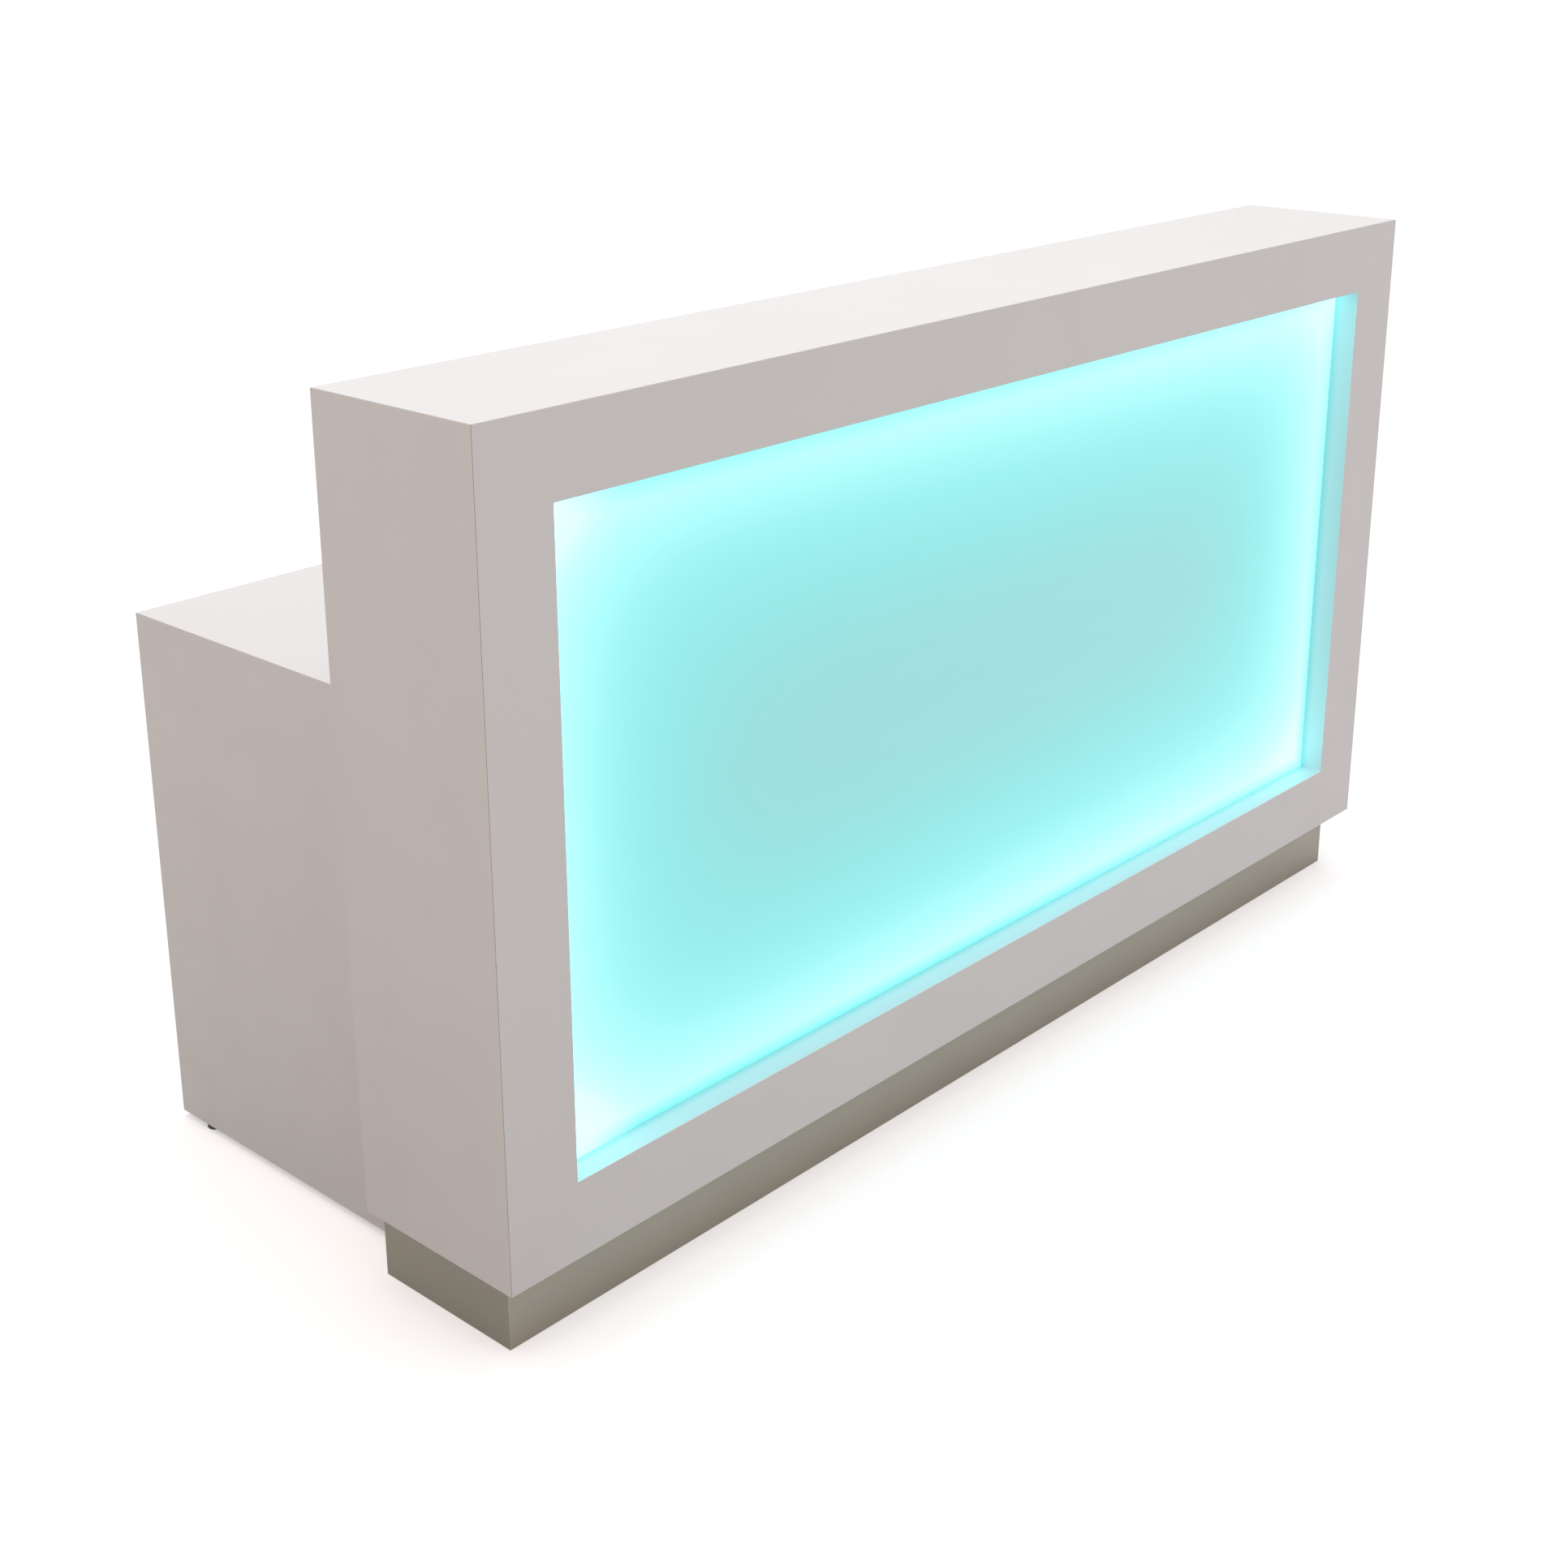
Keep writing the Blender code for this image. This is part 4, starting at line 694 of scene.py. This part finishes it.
def on_stud(tree, axes):
    above = {0: axes["Z"], 1: FOOT_HEIGHT + STUD_CLEARANCE}
    return add_node(tree, "ShaderNodeMath", above, operation="GREATER_THAN").outputs[0]


stud = {"where": on_stud, "colour": "B4B6B8", "metal": True}
foot_coat = mould("black_coated_foot_with_zinc_stud", "2E2E2E", "242424", 0.50, 0.8 * MM, ink=stud)

# %% [markdown]
# ## Strip of lamps
# The strip is a white ribbon with a small yellow-white lamp every 16.7 mm and a pair of copper pads
# every 50 mm, where it may be cut. Each lamp could be a piece of its own, but the strip sits out of sight
# behind the panel, so its finish draws them. It runs along X and along Z, so the sum of both counts
# along it.

# %% Strip
LAMP_PITCH = 16.7 * MM
LAMP_SHARE = 0.16
CUT_PITCH = 50 * MM
PAD_SHARE = 0.035

strip_ribbon, tree, place = start_finish("white_ribbon_with_lamps")
axes = add_node(tree, "ShaderNodeSeparateXYZ", {0: place}).outputs
run = add_node(tree, "ShaderNodeMath", {0: axes["X"], 1: axes["Z"]}, operation="ADD").outputs[0]
spots = []
for pitch, share in ((LAMP_PITCH, LAMP_SHARE), (CUT_PITCH, PAD_SHARE)):
    count = add_node(tree, "ShaderNodeMath", {0: run, 1: 1 / pitch}, operation="MULTIPLY").outputs[0]
    part = add_node(tree, "ShaderNodeMath", {0: count}, operation="FRACT").outputs[0]
    spot = {0: part, 1: 0.5, 2: share}
    spots.append(add_node(tree, "ShaderNodeMath", spot, operation="COMPARE").outputs[0])
on_lamp, on_pad = spots
tones = {SHARE: on_pad, COLOUR_A: linear("EDEEEA"), COLOUR_B: linear("B97A3F")}
ribbon = add_node(tree, "ShaderNodeMix", tones, data_type="RGBA").outputs[MIXED_COLOUR]
tones = {SHARE: on_lamp, COLOUR_A: ribbon, COLOUR_B: linear("F3EFB8")}
colour = add_node(tree, "ShaderNodeMix", tones, data_type="RGBA").outputs[MIXED_COLOUR]
# Painted light: between the lamps the ribbon itself glows a faint aqua.
tones = {SHARE: on_lamp, COLOUR_A: linear("1E4A4A"), COLOUR_B: linear("C8FFFF")}
light = add_node(tree, "ShaderNodeMix", tones, data_type="RGBA").outputs[MIXED_COLOUR]
shiny = {"Value": on_lamp, "To Min": 0.55, "To Max": 0.22}
gloss = add_node(tree, "ShaderNodeMapRange", shiny).outputs[0]
bumps = {"Strength": 0.4, "Distance": 0.8 * MM, "Height": on_lamp}
raised = add_node(tree, "ShaderNodeBump", bumps).outputs[0]
end_finish(
    strip_ribbon,
    {
        "Base Color": colour,
        "Roughness": gloss,
        "Normal": raised,
        "Emission Color": light,
        "Emission Strength": 1.0,
    },
)

# %% [markdown]
# ## Birch plywood
# The rails of the plinth are birch plywood. A face shows long grain, and a sawn edge shows plies of
# 1.4 mm in turn pale and dark. One grain all over would look like solid wood, so the surface's own
# direction tells a face from an edge.

# %% Plywood
FIBRE_WIDTH = 3 * MM
FIBRE_LENGTH = 180 * MM
PLY = 1.4 * MM
FACING = 0.6
PLY_BLUR = 0.4


def saw_birch_ply(name, long_axis, thick_axis):
    finish, tree, place = start_finish(name)
    facing = add_node(tree, "ShaderNodeTexCoord", {}).outputs["Normal"]
    thick_facing = add_node(tree, "ShaderNodeSeparateXYZ", {0: facing}).outputs[thick_axis]
    square = add_node(tree, "ShaderNodeMath", {0: thick_facing}, operation="ABSOLUTE").outputs[0]
    towards = {0: square, 1: FACING}
    on_face = add_node(tree, "ShaderNodeMath", towards, operation="GREATER_THAN").outputs[0]
    stretch = [1 / (FIBRE_LENGTH if axis == long_axis else FIBRE_WIDTH) for axis in "XYZ"]
    stretched = {0: place, 1: stretch}
    grain = add_node(tree, "ShaderNodeVectorMath", stretched, operation="MULTIPLY").outputs[0]
    wood = {"Vector": grain, "Scale": 1.0, "Detail": 5.0}
    fibre = add_node(tree, "ShaderNodeTexNoise", wood).outputs[0]
    tones = {SHARE: fibre, COLOUR_A: linear("D2B78C"), COLOUR_B: linear("EFDDBC")}
    face = add_node(tree, "ShaderNodeMix", tones, data_type="RGBA").outputs[MIXED_COLOUR]
    depth = add_node(tree, "ShaderNodeSeparateXYZ", {0: place}).outputs[thick_axis]
    turn = add_node(tree, "ShaderNodeMath", {0: depth, 1: math.pi / PLY}, operation="MULTIPLY").outputs[0]
    wave = add_node(tree, "ShaderNodeMath", {0: turn}, operation="SINE").outputs[0]
    seam = {"Value": wave, "From Min": -PLY_BLUR, "From Max": PLY_BLUR}
    light_ply = add_node(tree, "ShaderNodeMapRange", seam).outputs[0]
    tones = {SHARE: light_ply, COLOUR_A: linear("A07E58"), COLOUR_B: linear("E6CDA4")}
    edge = add_node(tree, "ShaderNodeMix", tones, data_type="RGBA").outputs[MIXED_COLOUR]
    tones = {SHARE: on_face, COLOUR_A: edge, COLOUR_B: face}
    colour = add_node(tree, "ShaderNodeMix", tones, data_type="RGBA").outputs[MIXED_COLOUR]
    dull = {"Value": fibre, "To Min": 0.55, "To Max": 0.75}
    dry = add_node(tree, "ShaderNodeMapRange", dull).outputs[0]
    fuzz = {"Strength": 0.3, "Distance": 0.1 * MM, "Height": fibre}
    raised = add_node(tree, "ShaderNodeBump", fuzz).outputs[0]
    return end_finish(finish, {"Base Color": colour, "Roughness": dry, "Normal": raised})


ply_along_x = saw_birch_ply("birch_plywood_along_x", long_axis="X", thick_axis="Y")
ply_along_y = saw_birch_ply("birch_plywood_along_y", long_axis="Y", thick_axis="X")

# %% [markdown]
# ## Dressing the solids
# A solid that has the right shape only needs its finish, put into its own material slot.
# One table says which finish each one takes, by the words its name holds. The last line that fits a
# name wins.

# %% Dress every solid
finish_for = (
    ("", white_laminate),
    ("front_fascia", window_laminate),
    ("diffuser_panel", lit_acrylic),
    ("kick_plate", side_plate_painted_darker),
    ("kick_plate_front", front_plate_painted_lighter),
    ("lightbox_wall", box_paint),
    ("reflector_panel", box_paint),
    ("led_strip", strip_ribbon),
    ("led_driver", driver_case),
    ("lead", lead_sheath),
    ("plinth_rail", ply_along_x),
    ("plinth_rail_left", ply_along_y),
    ("plinth_rail_right", ply_along_y),
    ("grommet", grey_abs),
    ("hatch_catch", grey_abs),
    ("hatch_hinge", plated_steel),
    ("runner", plated_steel),
    ("hatch_knob", knob_steel),
    ("pull", pull_steel),
    ("tray", pale_melamine),
    ("power_inlet", inlet_abs),
    ("power_rocker", rocker_abs),
    ("leveller", foot_coat),
)
for name, solid in nodes.items():
    finish = [look for words, look in finish_for if words in name][-1]
    for holder in solid.material_slots:
        holder.material = finish
    print(name, "->", finish.name)

# %% [markdown]
# ## Screws
# The hinge, the driver and the inlet are held by countersunk screws with a cross recess.
# A head could be a cylinder with a Boolean cut. A round grid whose middle points are pushed down where
# the cross lies is lighter, and needs no modifier. A short cone below closes it, as on the real screw,
# and sinks into the metal. One mesh serves all the screws of a size.

# %% Screw head
# All sizes of a head are shares of its radius.
HEAD_SIDES = 40
HEAD_RINGS = (0.16, 0.32, 0.46, 0.58, 0.62, 0.80, 0.94, 1.0)
CROSS_REACH = 0.6
CROSS_HALF_WIDTH = 0.14
CROSS_DEPTH = 0.22
DOME_RISE = 0.11
CONE_SHARE = 0.55
CONE_DEPTH = 0.35


def form_screw_head(name, radius, finish):
    form = bmesh.new()
    rings = []
    for share in HEAD_RINGS:
        ring = []
        for side in range(HEAD_SIDES):
            angle = 2 * math.pi * side / HEAD_SIDES
            x = share * radius * math.cos(angle)
            y = share * radius * math.sin(angle)
            in_cross = share < CROSS_REACH and min(abs(x), abs(y)) < CROSS_HALF_WIDTH * radius
            rise = -CROSS_DEPTH * radius if in_cross else DOME_RISE * radius * (1 - share * share)
            ring.append(form.verts.new((x, y, rise)))
        rings.append(ring)
    cone_z = -CONE_DEPTH * radius
    cone = [(CONE_SHARE * vert.co.x, CONE_SHARE * vert.co.y, cone_z) for vert in rings[-1]]
    rings.append([form.verts.new(point) for point in cone])
    middle = form.verts.new((0, 0, -CROSS_DEPTH * radius))
    tip = form.verts.new((0, 0, cone_z))
    for side in range(HEAD_SIDES):
        after = (side + 1) % HEAD_SIDES
        form.faces.new((middle, rings[0][side], rings[0][after]))
        for inner, outer in zip(rings, rings[1:]):
            form.faces.new((inner[side], outer[side], outer[after], inner[after]))
        form.faces.new((tip, rings[-1][after], rings[-1][side]))
    mesh = bpy.data.meshes.new(name)
    form.to_mesh(mesh)
    form.free()
    mesh.materials.append(finish)
    print(name, len(mesh.polygons), "faces")
    return mesh


screw_grain = (1 / (0.7 * MM),) * 3
screw_steel = brush_steel("steel_screw_nickel_plated", screw_grain, "BBBAB6", "8E8D89", 0.32)
hinge_screw = form_screw_head("hinge_screw_head", 3.0 * MM, screw_steel)
small_screw = form_screw_head("small_screw_head", 1.9 * MM, screw_steel)


# %% Screws of the hinge
def drive_screw(name, mesh, at, out, body):
    screw = bpy.data.objects.new(name, mesh)
    screw.location = at
    screw.rotation_euler = Vector(out).to_track_quat("Z", "Y").to_euler()
    bpy.context.scene.collection.objects.link(screw)
    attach(screw, body)
    print("screw:", name, "on", body)


LEAF = 1.2 * MM
FROM_AXIS = 15 * MM
LEAF_SCREWS = 5
TO_STAFF = (0, 1, 0)

fixed_low, fixed_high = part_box("hatch_hinge_fixed_leaf")
moving_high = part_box("hatch_hinge_moving_leaf")[1]
axis_x = (fixed_low.x + moving_high.x) / 2
leaf_face = fixed_low.y + LEAF
for number in range(LEAF_SCREWS):
    z = fixed_low.z + (fixed_high.z - fixed_low.z) * (number + 0.5) / LEAF_SCREWS
    for leaf, x, body in (("fixed", axis_x - FROM_AXIS, "desk"), ("moving", axis_x + FROM_AXIS, "hatch")):
        drive_screw(f"hinge_screw_{leaf}_{number + 1}", hinge_screw, (x, leaf_face, z), TO_STAFF, body)

# %% Screws of the driver and the inlet
TAB_LENGTH = 12 * MM
TAB_HEIGHT = 3 * MM
INLET_HOLE_ASIDE = 27.4 * MM
UPWARDS = (0, 0, 1)

driver_low, driver_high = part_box("led_driver")
driver_y = (driver_low.y + driver_high.y) / 2
for side, x in (("left", driver_low.x + TAB_LENGTH / 2), ("right", driver_high.x - TAB_LENGTH / 2)):
    at = (x, driver_y, driver_low.z + TAB_HEIGHT)
    drive_screw(f"driver_screw_{side}", hinge_screw, at, UPWARDS, "desk")
for side, aside in (("left", -INLET_HOLE_ASIDE), ("right", INLET_HOLE_ASIDE)):
    at = (inlet_middle.x + aside, inlet_high.y, inlet_middle.z)
    drive_screw(f"inlet_screw_{side}", small_screw, at, TO_STAFF, "desk")
